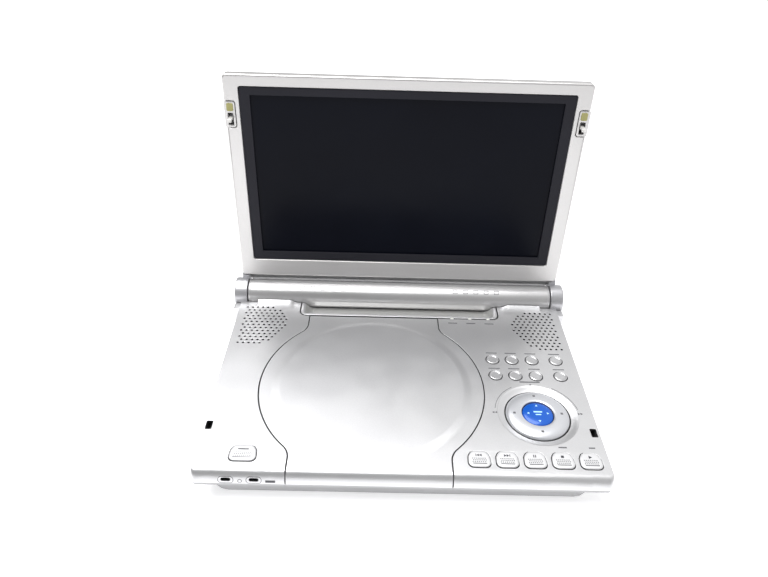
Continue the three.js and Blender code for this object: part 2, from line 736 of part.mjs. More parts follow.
function addBarrel() {
  const shell = rodX(BARREL_RADIUS, -BARREL_HALF, BARREL_HALF, HINGE_Y, HINGE_Z, 40);
  const bore = rodX(
    BARREL_RADIUS - BARREL_WALL,
    -BARREL_HALF - CUT,
    BARREL_HALF + CUT,
    HINGE_Y,
    HINGE_Z,
    40,
  );
  add('barrel_shell', shell.subtract(bore), finish(LIGHT_SILVER, 0.35, 0.6));
  for (let i = 0; i < CELL_COUNT; i += 1) {
    const middle = (i - (CELL_COUNT - 1) / 2) * (CELL_LENGTH + GAP);
    const cell = rodX(
      CELL_RADIUS,
      middle - CELL_LENGTH / 2,
      middle + CELL_LENGTH / 2,
      HINGE_Y,
      HINGE_Z,
      24,
    );
    add(`battery_cell_${i + 1}`, cell, finish(0x2f6f8f, 0.5, 0));
  }
  [['left', -1], ['right', 1]].forEach(([label, side]) => {
    const headRadius = BARREL_RADIUS - BARREL_WALL - GAP;
    const ends = [BARREL_HALF - GAP - SHAFT_HEAD, BARREL_HALF - GAP].map((x) => side * x);
    const pinEnds = [BARREL_HALF - GAP - SHAFT_HEAD / 2, KNUCKLE_END - SHAFT_INSET].map((x) => side * x);
    const head = rodX(headRadius, Math.min(...ends), Math.max(...ends), HINGE_Y, HINGE_Z, 24);
    const pin = rodX(SHAFT_RADIUS, Math.min(...pinEnds), Math.max(...pinEnds), HINGE_Y, HINGE_Z, 24);
    add(`hinge_shaft_${label}`, head.add(pin), finish(STEEL, 0.3, 1));
  });
}

function addDiscCover() {
  add('disc_cover', discCover(), finish(SILVER, 0.35, 0.6));
  const linerTop = -COVER_PLATE - GAP;
  add(
    'disc_cover_liner',
    discZ(LINER_RADIUS, linerTop - LINER_PLATE, linerTop, DISC_X, DISC_Y, 36),
    finish(BLACK, 0.5, 0),
  );
  [['left', LUG_X[0]], ['right', LUG_X[1]]].forEach(([label, x]) => {
    const half = LUG_WIDTH / 2 + GAP + BOSS_WIDTH - GAP;
    const pin = rodX(PIN_RADIUS, x - half, x + half, COVER_AXIS_Y, COVER_AXIS_Z, 16);
    add(`disc_cover_pin_${label}`, pin, finish(STEEL, 0.3, 1));
  });
  const tip = TAB_X - TAB_WIDTH / 2 - GAP;
  const tail = OPEN_KEY_X + OPEN_STEM_SHIFT + STEM_RADIUS + CATCH_SHORT;
  add(
    'cover_catch',
    box(
      tail,
      tip,
      CATCH_Y - CATCH_WIDTH / 2,
      CATCH_Y + CATCH_WIDTH / 2,
      -CATCH_TOP - CATCH_THICK,
      -CATCH_TOP,
    ),
    finish(GREY, 0.6, 0),
  );
}

function driveChassis() {
  const bottom = -WELL_DEPTH - CHASSIS_WALL;
  const outline = coverOutline(-CHASSIS_INSET, CHASSIS_FRONT, CHASSIS_REAR);
  const under = coverOutline(
    -CHASSIS_INSET - CHASSIS_WALL,
    CHASSIS_FRONT + CHASSIS_WALL,
    CHASSIS_REAR - CHASSIS_WALL,
  );
  const rim = prismZ(outline, -CHASSIS_TOP - CHASSIS_RIM, -CHASSIS_TOP, 6);
  const pocket = prismZ(under, bottom, -CHASSIS_TOP - CHASSIS_WALL, 6);
  const wellOuter = discZ(WELL_RADIUS + CHASSIS_WALL, bottom, -CHASSIS_TOP - CUT, DISC_X, DISC_Y, 36);
  const frame = box(
    DISC_X - FRAME_LEFT,
    DISC_X + FRAME_REACH,
    DISC_Y - FRAME_FRONT,
    DISC_Y + FRAME_REAR,
    bottom,
    -WELL_DEPTH,
  );
  const ribs = [RIB_INNER, RIB_OUTER].map((at) => box(
    DISC_X + at,
    DISC_X + at + RIB_THICK,
    DISC_Y - NUT_REACH,
    DISC_Y + SLED_HALF,
    -RIB_BOTTOM,
    bottom + CHASSIS_WALL / 2,
  ));
  const body = union([rim.subtract(pocket), wellOuter, frame, ...ribs]);
  const rodHoles = [-1, 1].map((side) => rodX(
    ROD_RADIUS + TURN_GAP,
    DISC_X,
    DISC_X + FRAME_REACH + CUT,
    DISC_Y + side * ROD_SPREAD,
    DRIVE_AXIS_Z,
    16,
  ));
  const screwHole = rodX(
    SCREW_RADIUS + NUT_GAP,
    DISC_X,
    DISC_X + FRAME_REACH + CUT,
    DISC_Y - SCREW_OFFSET,
    DRIVE_AXIS_Z,
    16,
  );
  return cut(body, [
    discZ(WELL_RADIUS, -WELL_DEPTH, CUT, DISC_X, DISC_Y, 36),
    discZ(MOTOR_HOLE, bottom - CUT, CUT, DISC_X, DISC_Y),
    box(
      DISC_X + SLOT_START,
      DISC_X + SLOT_END,
      DISC_Y - SLOT_HALF,
      DISC_Y + SLOT_HALF,
      bottom - CUT,
      -WELL_DEPTH + CUT,
    ),
    box(
      DISC_X - NECK_HALF,
      TAB_X + TAB_WIDTH / 2 + CUT,
      CATCH_Y - TAB_DEPTH / 2 - CUT,
      CATCH_Y + TAB_DEPTH / 2 + CUT,
      bottom - CUT,
      CUT,
    ),
    ...rodHoles,
    screwHole,
  ]);
}

function pickupSled() {
  const middle = DISC_X + LENS_START;
  const block = box(
    middle - SLED_LENGTH / 2,
    middle + SLED_LENGTH / 2,
    DISC_Y - SLED_HALF,
    DISC_Y + SLED_HALF,
    -SLED_BOTTOM,
    -SLED_TOP,
  );
  const nut = box(
    middle - NUT_HALF,
    middle + NUT_HALF,
    DISC_Y - NUT_REACH,
    DISC_Y - SLED_HALF + CUT,
    DRIVE_AXIS_Z - NUT_HEIGHT / 2,
    DRIVE_AXIS_Z + NUT_HEIGHT / 2,
  );
  const bores = [
    [ROD_SPREAD, ROD_RADIUS + TURN_GAP],
    [-ROD_SPREAD, ROD_RADIUS + TURN_GAP],
    [-SCREW_OFFSET, SCREW_RADIUS + NUT_GAP],
  ].map(([y, radius]) => rodX(
    radius,
    middle - SLED_LENGTH,
    middle + SLED_LENGTH,
    DISC_Y + y,
    DRIVE_AXIS_Z,
    16,
  ));
  return cut(block.add(nut), bores);
}

function addDrive() {
  const bottom = -WELL_DEPTH - CHASSIS_WALL;
  add('drive_chassis', driveChassis(), finish(0x2a2b2e, 0.6, 0.1));
  const motor = lathe([
    [0, -MOTOR_BOTTOM],
    [MOTOR_RADIUS, -MOTOR_BOTTOM],
    [MOTOR_RADIUS, bottom - GAP],
    [SPINDLE_RADIUS, bottom - GAP],
    [SPINDLE_RADIUS, -HUB_TOP - HUB_SKIN - GAP],
    [0, -HUB_TOP - HUB_SKIN - GAP],
  ], DISC_X, DISC_Y, 24);
  add('spindle_motor', motor, finish(STEEL, 0.35, 1));
  const turntable = lathe([
    [0, -HUB_TOP - HUB_SKIN],
    [SPINDLE_RADIUS + TURN_GAP, -HUB_TOP - HUB_SKIN],
    [SPINDLE_RADIUS + TURN_GAP, -TURNTABLE_BOTTOM],
    [TURNTABLE_RADIUS, -TURNTABLE_BOTTOM],
    [TURNTABLE_RADIUS, -TURNTABLE_TOP],
    [HUB_RADIUS, -TURNTABLE_TOP],
    [HUB_RADIUS, -HUB_TOP - HUB_CHAMFER],
    [HUB_RADIUS - HUB_CHAMFER, -HUB_TOP],
    [0, -HUB_TOP],
  ], DISC_X, DISC_Y);
  add('turntable', turntable, finish(0x3a3b3f, 0.5, 0));
  [['front', -1], ['rear', 1]].forEach(([label, side]) => {
    const rod = rodX(
      ROD_RADIUS,
      DISC_X + RIB_INNER - GAP,
      DISC_X + RIB_OUTER + RIB_THICK + GAP,
      DISC_Y + side * ROD_SPREAD,
      DRIVE_AXIS_Z,
      16,
    );
    add(`guide_rod_${label}`, rod, finish(STEEL, 0.2, 1));
  });
  const screwEnd = DISC_X + RIB_OUTER + RIB_THICK + CUT;
  const screw = rodX(
    SCREW_RADIUS,
    DISC_X + RIB_INNER,
    screwEnd,
    DISC_Y - SCREW_OFFSET,
    DRIVE_AXIS_Z,
    16,
  );
  add('feed_screw', screw, finish(STEEL, 0.3, 1));
  const feedMotor = rodX(
    FEED_MOTOR_RADIUS,
    screwEnd + GAP,
    screwEnd + GAP + FEED_MOTOR_LENGTH,
    DISC_Y - SCREW_OFFSET,
    DRIVE_AXIS_Z,
    24,
  );
  add('feed_motor', feedMotor, finish(STEEL, 0.35, 1));
  add('pickup_sled', pickupSled(), finish(0x202124, 0.5, 0.2));
  add(
    'pickup_lens',
    discZ(LENS_RADIUS, -SLED_TOP + GAP, -LENS_TOP, DISC_X + LENS_START, DISC_Y, 20),
    finish(0x6a7fb0, 0.1, 0),
  );
}

function addKeys() {
  const rimTop = -DECK_PLATE - GAP;
  const stemBottom = -KEY_BOARD_TOP + GAP + KEY_TRAVEL;
  const build = (outline, segments, stemX, stemY, bottom) => union([
    prismZ(outline(0), rimTop - KEY_RIM, KEY_PROUD, segments),
    prismZ(outline(KEY_FLANGE), rimTop - KEY_RIM, rimTop, segments),
    discZ(STEM_RADIUS, bottom, rimTop - KEY_RIM / 2, stemX, stemY, 12),
  ]);
  KEYS.forEach((key) => {
    const solid = build(key.outline, key.segments, key.x, key.y, stemBottom);
    add(key.name, solid, finish(LIGHT_SILVER, 0.4, 0.4));
  });
  const openKey = build(openKeyOutline, 2, OPEN_KEY_X + OPEN_STEM_SHIFT, OPEN_KEY_Y, -OPEN_STEM_BOTTOM);
  add('open_button', openKey, finish(LIGHT_SILVER, 0.4, 0.4));
}

function addDial() {
  const dish = lathe([
    [CURSOR_STEM + SEAM, -DISH_FLOOR - DISH_PLATE],
    [DISH_RADIUS, -DISH_FLOOR - DISH_PLATE],
    [DISH_RADIUS, -GAP],
    [DISH_RADIUS - DISH_WALL, -GAP - DISH_FALL],
    [DISH_RADIUS - DISH_WALL, -DISH_FLOOR],
    [CURSOR_STEM + SEAM, -DISH_FLOOR],
    [CURSOR_STEM + SEAM, -DISH_FLOOR - DISH_PLATE],
  ], DIAL_X, DIAL_Y, 32);
  add('dial_dish', dish, finish(LIGHT_SILVER, 0.4, 0.5));
  const ring = lathe([
    [RING_BORE, -DISH_FLOOR + SEAM],
    [RING_RADIUS, -DISH_FLOOR + SEAM],
    [RING_RADIUS, -GAP],
    [RING_RADIUS - RING_SLOPE, RING_PROUD],
    [RING_BORE + RING_LIP, RING_PROUD],
    [RING_BORE, 0],
    [RING_BORE, -DISH_FLOOR + SEAM],
  ], DIAL_X, DIAL_Y, 32);
  add('search_ring', ring, finish(SILVER, 0.35, 0.6));
  const base = -DISH_FLOOR + KEY_TRAVEL + GAP;
  const cursor = lathe([
    [0, -KEY_BOARD_TOP + GAP + KEY_TRAVEL],
    [CURSOR_STEM, -KEY_BOARD_TOP + GAP + KEY_TRAVEL],
    [CURSOR_STEM, base],
    [CURSOR_RADIUS, base],
    [CURSOR_RADIUS, CURSOR_EDGE],
    [CURSOR_RADIUS * 0.8, CURSOR_PROUD * 0.62],
    [CURSOR_RADIUS * 0.45, CURSOR_PROUD * 0.92],
    [0, CURSOR_PROUD],
  ], DIAL_X, DIAL_Y);
  add('cursor_button', cursor, finish(0x2b86e0, 0.2, 0.1));
}

function keyBoard() {
  const left = LARGE_KEY_START - LARGE_KEY_WIDTH / 2;
  const right = LATCH_X - LATCH_WIDTH / 2 + CUT;
  const front = LARGE_KEY_Y - LARGE_KEY_DEPTH / 2 - CUT;
  const step = LARGE_KEY_Y + LARGE_KEY_DEPTH / 2 + CUT;
  const inner = DISC_X + COVER_RADIUS + SEAM + 2 * CUT;
  const rear = SMALL_KEY_Y[0] + SMALL_KEY_RADIUS + 2 * CUT;
  const bottom = -KEY_BOARD_TOP - KEY_BOARD_THICK;
  const strip = box(left, right, front, step, bottom, -KEY_BOARD_TOP);
  const field = box(inner, right, front, rear, bottom, -KEY_BOARD_TOP);
  return strip.add(field);
}

function speaker(side) {
  const top = -DECK_PLATE - 1;
  const bottom = top - SPEAKER_DEPTH;
  return lathe([
    [0, bottom],
    [MAGNET_RADIUS, bottom],
    [MAGNET_RADIUS, bottom + MAGNET_HEIGHT],
    [SPEAKER_RADIUS, top - SPEAKER_BASKET],
    [SPEAKER_RADIUS, top],
    [SPEAKER_RADIUS - SPEAKER_RIM, top],
    [CONE_RADIUS, top - CONE_DEPTH],
    [0, top - CONE_DEPTH + CAP_RISE],
  ], side * SPEAKER_X, SPEAKER_Y, 28);
}

function addElectronics() {
  add('key_board', keyBoard(), finish(0x2f6b3c, 0.6, 0));
  const boardTop = -BOARD_BOTTOM + BOARD_THICK;
  const board = box(BOARD_LEFT, BOARD_RIGHT, BOARD_FRONT, BOARD_REAR, -BOARD_BOTTOM, boardTop);
  const chipLeft = BOARD_LEFT + CHIP_INSET;
  const chips = CHIP_PLACES.map((share) => {
    const y = BOARD_FRONT + share * (BOARD_REAR - BOARD_FRONT);
    const front = y - CHIP_SIZE / 2;
    const base = boardTop - BOARD_THICK / 2;
    return box(chipLeft, chipLeft + CHIP_SIZE, front, front + CHIP_SIZE, base, boardTop + CHIP_HEIGHT);
  });
  add('main_board', union([board, ...chips]), finish(0x2f6b3c, 0.6, 0));
  add('speaker_left', speaker(-1), finish(BLACK, 0.6, 0.2));
  add('speaker_right', speaker(1), finish(BLACK, 0.6, 0.2));
  JACK_X.forEach((x, i) => {
    const body = rodY(JACK_RADIUS, JACK_FRONT, JACK_REAR, x, JACK_Z, 20);
    const bore = rodY(JACK_BORE, JACK_FRONT - CUT, JACK_REAR - CUT, x, JACK_Z, 20);
    add(`front_socket_${i + 1}`, body.subtract(bore), finish(BLACK, 0.5, 0.1));
  });
  const face = SHELL_HALF - GAP;
  const inletBody = rodX(INLET_RADIUS, face - INLET_LENGTH, face, INLET_Y, INLET_Z, 20);
  const inletBore = rodX(INLET_BORE, face - INLET_LENGTH + CUT, face + CUT, INLET_Y, INLET_Z, 20);
  const inletPin = rodX(INLET_PIN, face - INLET_LENGTH + CUT / 2, face - CUT, INLET_Y, INLET_Z, 10);
  add('power_inlet', inletBody.subtract(inletBore).add(inletPin), finish(BLACK, 0.5, 0.1));
  const barTop = -DECK_PLATE - SEAM;
  const bar = box(
    LAMP_X[0] - LAMP_WIDTH,
    LAMP_X[LAMP_X.length - 1] + LAMP_WIDTH,
    LAMP_Y - LAMP_DEPTH / 2,
    LAMP_Y + LAMP_DEPTH / 2 - SEAM,
    barTop - LAMP_BAR,
    barTop,
  );
  const lamps = LAMP_X.map((x) => box(
    x - LAMP_WIDTH / 2,
    x + LAMP_WIDTH / 2,
    LAMP_Y - LAMP_DEPTH / 2,
    LAMP_Y + LAMP_DEPTH / 2,
    barTop - CUT,
    0,
  ));
  const trimmed = cut(union([bar, ...lamps]), [
    box(
      LAMP_X[0] - LAMP_WIDTH - CUT,
      LAMP_X[LAMP_X.length - 1] + LAMP_WIDTH + CUT,
      TROUGH_FRONT - TROUGH_WALL - GAP,
      TROUGH_FRONT,
      barTop - 2 * CUT,
      -DECK_PLATE / 2 - GAP,
    ),
  ]);
  add('indicator_light_guide', trimmed, finish(0xe8e8ea, 0.3, 0));
}

function screenRect(width, bottom, top, radius) {
  return roundedRect(-width / 2, width / 2, SCREEN_RISE + bottom, SCREEN_RISE + top, radius);
}

function addScreen() {
  const face = SCREEN_FACE;
  const outline = screenRect(SCREEN_WIDTH, 0, SCREEN_HEIGHT, SCREEN_CORNER);
  const window = screenRect(WINDOW_WIDTH, WINDOW_BOTTOM, WINDOW_TOP, WINDOW_CORNER);
  const hookCuts = [-1, 1].map((side) => box(
    side * LATCH_X - HOOK_PLATE_WIDTH / 2 - GAP,
    side * LATCH_X + HOOK_PLATE_WIDTH / 2 + GAP,
    face - CUT,
    face + BEZEL_PLATE + CUT,
    SCREEN_RISE + HOOK_PLATE_BOTTOM - GAP,
    SCREEN_RISE + HOOK_PLATE_TOP + GAP,
  ));
  const bezel = cut(prismY(outline, face, face + BEZEL_PLATE), [
    prismY(window, face - CUT, face + BEZEL_PLATE + CUT),
    ...hookCuts,
  ]);
  add('screen_bezel', bezel, finish(0xbdb9b8, 0.35, 0.6), screen);

  const maskOutline = screenRect(
    WINDOW_WIDTH - 2 * GAP,
    WINDOW_BOTTOM + GAP,
    WINDOW_TOP - GAP,
    WINDOW_CORNER,
  );
  const active = screenRect(ACTIVE_WIDTH, ACTIVE_BOTTOM, ACTIVE_TOP, ACTIVE_CORNER);
  const mask = cut(prismY(maskOutline, face + MASK_RECESS, face + BEZEL_PLATE), [
    prismY(active, face, face + BEZEL_PLATE + CUT),
  ]);
  add('screen_mask', mask, finish(0x2d2d37, 0.5, 0), screen);

  const panelOutline = screenRect(
    ACTIVE_WIDTH + 2 * PANEL_MARGIN,
    ACTIVE_BOTTOM - PANEL_MARGIN,
    ACTIVE_TOP + PANEL_MARGIN,
    ACTIVE_CORNER,
  );
  const panelFront = face + BEZEL_PLATE + GAP;
  const trayFront = panelFront + PANEL_THICK + GAP;
  const panel = prismY(panelOutline, panelFront, panelFront + PANEL_THICK);
  add('lcd_panel', panel, finish(0x0b0d16, 0.1, 0), screen);
  add(
    'backlight_tray',
    prismY(panelOutline, trayFront, trayFront + TRAY_THICK),
    finish(STEEL, 0.4, 1),
    screen,
  );

  const insideOutline = screenRect(
    SCREEN_WIDTH - 2 * BEZEL_PLATE,
    BEZEL_PLATE,
    SCREEN_HEIGHT - BEZEL_PLATE,
    SCREEN_CORNER - BEZEL_PLATE,
  );
  const shell = prismY(outline, face + BEZEL_PLATE + GAP, SCREEN_BACK);
  const tongueRoom = [-1, 1].map((side) => {
    const ends = [KNUCKLE_START - GAP, SCREEN_WIDTH / 2 - BEZEL_PLATE].map((x) => side * x);
    return box(
      Math.min(...ends),
      Math.max(...ends),
      face + TONGUE_FRONT - SCREEN_FACE - GAP,
      face + TONGUE_BACK - SCREEN_FACE + GAP,
      SCREEN_RISE - CUT,
      SCREEN_RISE + BEZEL_PLATE + CUT,
    );
  });
  const rear = cut(shell, [
    prismY(insideOutline, face, SCREEN_BACK - BEZEL_PLATE),
    ...tongueRoom,
  ]);
  add('screen_rear_shell', rear, finish(SILVER, 0.35, 0.6), screen);

  [['left', -1], ['right', 1]].forEach(([label, side]) => {
    const plate = box(
      side * LATCH_X - HOOK_PLATE_WIDTH / 2,
      side * LATCH_X + HOOK_PLATE_WIDTH / 2,
      face + HOOK_SINK,
      face + HOOK_SINK + HOOK_PLATE_THICK,
      SCREEN_RISE + HOOK_PLATE_BOTTOM,
      SCREEN_RISE + HOOK_PLATE_TOP,
    );
    const hook = box(
      side * LATCH_X - HOOK_WIDTH / 2,
      side * LATCH_X + HOOK_WIDTH / 2,
      face - HOOK_REACH,
      face + HOOK_SINK + HOOK_PLATE_THICK / 2,
      SCREEN_RISE + HOOK_RISE - HOOK_HEIGHT / 2,
      SCREEN_RISE + HOOK_RISE + HOOK_HEIGHT / 2,
    );
    add(`latch_hook_${label}`, plate.add(hook), finish(0xe6e6e6, 0.5, 0), screen);
    add(`hinge_knuckle_${label}`, knuckle(side), finish(0x9a9a9c, 0.4, 0.5), screen);
  });
}

function knuckle(side) {
  const span = (a, b) => [Math.min(side * a, side * b), Math.max(side * a, side * b)];
  const [k0, k1] = span(KNUCKLE_START, KNUCKLE_END);
  const [n0, n1] = span(KNUCKLE_START, KNUCKLE_START + NECK_WIDTH);
  const [t0, t1] = span(KNUCKLE_START, KNUCKLE_START + TONGUE_WIDTH);
  const [b0, b1] = span(KNUCKLE_START - CUT, KNUCKLE_END - KNUCKLE_END_WALL);
  const body = union([
    rodX(KNUCKLE_RADIUS, k0, k1, 0, 0),
    box(n0, n1, NECK_FRONT, NECK_BACK, 0, SCREEN_RISE - GAP),
    box(t0, t1, TONGUE_FRONT, TONGUE_BACK, TONGUE_BOTTOM, TONGUE_TOP),
  ]);
  return body.subtract(rodX(SHAFT_RADIUS + TURN_GAP, b0, b1, 0, 0, 24));
}

addBase();
addBarrel();
addDiscCover();
addDrive();
addKeys();
addDial();
addElectronics();
addScreen();

// The origin is the middle of the underside of the whole player as it stands with its screen up.
player.updateMatrixWorld(true);
const extent = new THREE.Box3().setFromObject(player, true);
const middle = extent.getCenter(new THREE.Vector3());
player.position.set(-middle.x, -middle.y, -extent.min.z);

export default player;
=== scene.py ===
"""Looks of a portable disc player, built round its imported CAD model.

Lengths are millimetres in two working frames. deck() and lid() turn them into the part's metres.
Deck frame: x to the right, y to the rear from the deck's front edge, z up from the deck's top.
Lid frame: x to the right, y up the screen from its lower edge, z out of the screen's face.
"""

import math

import bmesh
import bpy
from mathutils import Matrix, Vector
from mathutils.geometry import tessellate_polygon


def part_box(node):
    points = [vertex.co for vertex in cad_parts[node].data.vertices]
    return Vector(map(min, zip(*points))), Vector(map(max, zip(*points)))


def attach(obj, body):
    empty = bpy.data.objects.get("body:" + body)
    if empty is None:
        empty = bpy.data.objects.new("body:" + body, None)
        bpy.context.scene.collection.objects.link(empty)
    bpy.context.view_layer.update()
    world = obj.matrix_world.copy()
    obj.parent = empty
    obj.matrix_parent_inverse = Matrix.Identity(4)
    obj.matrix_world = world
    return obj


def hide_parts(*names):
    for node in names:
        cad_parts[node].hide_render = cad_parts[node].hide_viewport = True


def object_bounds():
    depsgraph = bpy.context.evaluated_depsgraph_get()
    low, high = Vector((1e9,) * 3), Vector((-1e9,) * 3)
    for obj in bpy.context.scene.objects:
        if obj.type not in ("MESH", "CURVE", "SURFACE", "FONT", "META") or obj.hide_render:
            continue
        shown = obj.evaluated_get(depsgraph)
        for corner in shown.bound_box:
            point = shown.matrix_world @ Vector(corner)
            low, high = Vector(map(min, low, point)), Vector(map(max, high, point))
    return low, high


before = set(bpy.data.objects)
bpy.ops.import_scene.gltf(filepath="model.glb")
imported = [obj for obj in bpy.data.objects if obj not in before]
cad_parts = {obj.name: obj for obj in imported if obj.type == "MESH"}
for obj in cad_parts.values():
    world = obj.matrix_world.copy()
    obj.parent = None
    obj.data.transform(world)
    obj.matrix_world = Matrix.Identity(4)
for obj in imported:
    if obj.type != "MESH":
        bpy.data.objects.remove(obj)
cad_low, cad_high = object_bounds()

MM = 0.001

# Deck. Below WALL_TOP the wall of a cut is painted black, as painted shade. NOSE is how far the CAD's nose
# reaches forwards.
DECK_HALF = 116
DECK_REAR = 151.5
DECK_PLATE = 2
WALL_TOP = 0.3
EDGE_ROUND = 0.26
HOLE_ROUND = 0.16
SKIRT = 7.5
SKIRT_WIDTH = 1.8
SKIRT_FRONT = -1.0
NOSE = 3
NOSE_REACH = 2.94
NOSE_ROUND = 1.9
NOSE_FACE_TOP = -6
CORNER = 2.6
CORNER_FADE = 14
CORNER_CUT = 8
SEAM = 0.62

# Sweep of the deck's rear edge beside the trough
FAIRING_FRONT = 142.5
FAIRING_RISE = 2.4
FAIRING_INNER = 74
FAIRING_OUTER = 104
FAIRING_BLEND = 7
FAIRING_END = 0.8

# Speaker grilles
GRILLE_ROWS = 13
GRILLE_FRONT = 105.7
GRILLE_ROW_PITCH = 3.25
GRILLE_SIDE = 110.1
GRILLE_PITCH = 3.7
GRILLE_HOLE = 0.84
GRILLE_MIDDLE = 127
GRILLE_FRONT_HALF = 22.8
GRILLE_REAR_HALF = 20.5
GRILLE_ROOT = 100
GRILLE_BOW = 19.6

# Disc cover
DISC_X = -18.4
DISC_Y = 68
COVER_RADIUS = 70.2
COVER_PLATE = 2.2
NECK_HALF = 45.5
NECK_FILLET = 12
COVER_REAR = 136
EMBOSS_RADIUS = 63.4
EMBOSS_SLOPE = 6.5
EMBOSS_STEPS = 12
EMBOSS_TOP = 0.55
EMBOSS_FOOT = 0.01
EMBOSS_BOTTOM = -0.2

# Trough and barrel
TROUGH_HALF = 72
TROUGH_FRONT = 136.4
TROUGH_CORNER = 5
TROUGH_GAP = 1.7
TROUGH_REAR = 155.2
PAN_GAP = 0.5
HINGE_Y = 162
HINGE_Z = 0.9
BARREL_RADIUS = 10
BARREL_HALF = 111
BARREL_GAP = 0.5
BARREL_CUP = 1.2
GROOVE_START = 109.2
GROOVE_END = 109.8
GROOVE_SLOPE = 0.15
GROOVE_DEPTH = 0.22
CELL_MARKS = 5
CELL_MARK_START = 41
CELL_MARK_PITCH = 7.6
CELL_MARK_ANGLE = 122
KNUCKLE_RADIUS = 11.1
KNUCKLE_START = 111.6
KNUCKLE_END = 121
KNUCKLE_GAP = 0.5
KNUCKLE_ROUND = 1.2
EAR_START = 108.3
EAR_FRONT = 144
EAR_REAR = 171
EAR_TOP = -1.0
EAR_BOTTOM = -13

# Controls
KEY_GAP = 0.35
KEY_TAPER = 0.9
KEY_CHAMFER = 2.4
KEY_CORNER = 3.4
SYMBOL_RISE = 2.2
SYMBOL_Z = 1.0
GRIP_ROWS = 3
GRIP_PITCH = 1.15
GRIP_FRONT = 2.3
SMALL_KEY_GAP = 0.5
SMALL_KEY_RADIUS = 4.1
SMALL_KEY_X = [61.2, 74, 87.3, 103.3]
SMALL_KEY_Y = [93.9, 78.9]
SMALL_KEYS = [(x, y) for y in SMALL_KEY_Y for x in SMALL_KEY_X]
LARGE_KEY_START = 42.6
LARGE_KEY_PITCH = 15.65
LARGE_KEY_Y = 11
LARGE_KEY_SIZE = (12.5, 11.2)
LARGE_KEYS = 5
OPEN_KEY = (-89.1, 11.8)
OPEN_KEY_SIZE = (15.2, 11)
DIAL = (82.2, 45.9)
BOWL_RADIUS = 24.2
DIAL_SEAM = 0.85
RING_RADIUS = 19.1
RING_BORE = 9.8
CURSOR_RADIUS = 9.3
RING_MARK_RADIUS = 14.3
ARC_RADIUS = 25.6
ARC_WIDTH = 0.36
ARROW_RADIUS = 25.2
LAMP_X = [37.9, 50.8, 63.8]
LAMP_Y = 137.1
LAMP_RADIUS = 1.25
LAMP_FOOT = -1.8
LATCH_X = 112.5
LATCH_Y = 32
LATCH_SIZE = (3.8, 6.4)
SOCKET_X = [-96.5, -81.2]
SOCKET_Z = -4.6
SOCKET_FRONT = -0.3
SOCKET_FLOOR = 1.8
SOCKET_END = 4.5
SOCKET_BORE = 1.5
SOCKET_RADIUS = 2.1
SOCKET_SLOT = (5.3, 2.0)

# Printed labels
LABEL_HEIGHT = 0.9
SMALL_KEY_LABEL = (6.6, 7.4, 0.8)
LAMP_LABEL_Y = 131.6
LAMP_LABEL_WIDTH = 6.4
LARGE_KEY_LABEL_RISE = 9.6
DIAL_LABEL = (27.4, 13, 1.0)

# Screen
SCREEN_LEAN = math.radians(2.9)
SCREEN_HALF = 116
SCREEN_HEIGHT = 145
SCREEN_RISE = 13.9
SCREEN_FACE = 1.9
WINDOW_HALF = 106.5
WINDOW_BOTTOM = 13.5
WINDOW_TOP = 137.65
ACTIVE_HALF = 99.6
ACTIVE_BOTTOM = 20.1
ACTIVE_TOP = 132.15
HOOK_BOTTOM = 111.5
HOOK_TOP = 128.1
HOOK_PLATE_HALF = 3.1
HOOK_PLATE_GAP = 0.35
LIP_HALF = 110.2

# Light and camera
WORLD_FRONT, WORLD_BACK = 1.7, 3.0
WORLD_LEFT, WORLD_RIGHT = 1.02, 4.9
FLOOR_HALF = 3
FLOOR_DROP = 0.0002
FLOOR_GLOW = 0.5
CAMERA_LENS = 29.67
CAMERA_PLACE = (-17.1, -220.1, 282.4)
CAMERA_AHEAD = (0.0121, 0.8112, -0.5846)
CAMERA_UPWARD = (-0.0244, 0.5847, 0.8109)

deck_low, deck_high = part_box("top_deck")
ORIGIN = Vector((0, deck_low.y + NOSE * MM, deck_high.z - FAIRING_RISE * MM))


def deck(x, y, z):
    """A point of the deck frame, in the part's metres."""
    return ORIGIN + Vector((x, y, z)) * MM


def lid(x, y, z):
    """A point of the lid frame, with the screen leaning back from upright."""
    up = y + SCREEN_RISE
    back = SCREEN_FACE - z
    sine, cosine = math.sin(SCREEN_LEAN), math.cos(SCREEN_LEAN)
    return deck(x, HINGE_Y + back * cosine + up * sine, HINGE_Z - back * sine + up * cosine)


def along_barrel(x, y, z):
    """Turns a lathe's upright axis onto the hinge axis."""
    return deck(z, HINGE_Y + x, HINGE_Z + y)


# ---- The nose: the deck's plate bends down at its front and turns its corners


def nose_profile():
    """Points from the flat deck's end over the bend and down to the foot, as (y, z)."""
    start, turn, end = (NOSE_ROUND, 0), (-1.1, -0.15), (-NOSE_REACH, NOSE_FACE_TOP)
    points = []
    steps = 24
    for i in range(steps + 1):
        t = i / steps
        points.append(
            tuple(
                (1 - t) ** 2 * a + 2 * t * (1 - t) * b + t * t * c
                for a, b, c in zip(start, turn, end)
            )
        )
    points.append((-NOSE_REACH, -SKIRT))
    return points


PROFILE = nose_profile()
LENGTHS = [0.0]
for before, after in zip(PROFILE, PROFILE[1:]):
    LENGTHS.append(LENGTHS[-1] + math.dist(before, after))
FLAT_FRONT = NOSE_ROUND - LENGTHS[-1]


def flat_y(z):
    """Where the nose's point at height z lies on the plate before it is bent."""
    for i, (before, after) in enumerate(zip(PROFILE, PROFILE[1:])):
        if after[1] <= z:
            part = (before[1] - z) / (before[1] - after[1])
            return NOSE_ROUND - LENGTHS[i] - part * (LENGTHS[i + 1] - LENGTHS[i])
    return FLAT_FRONT


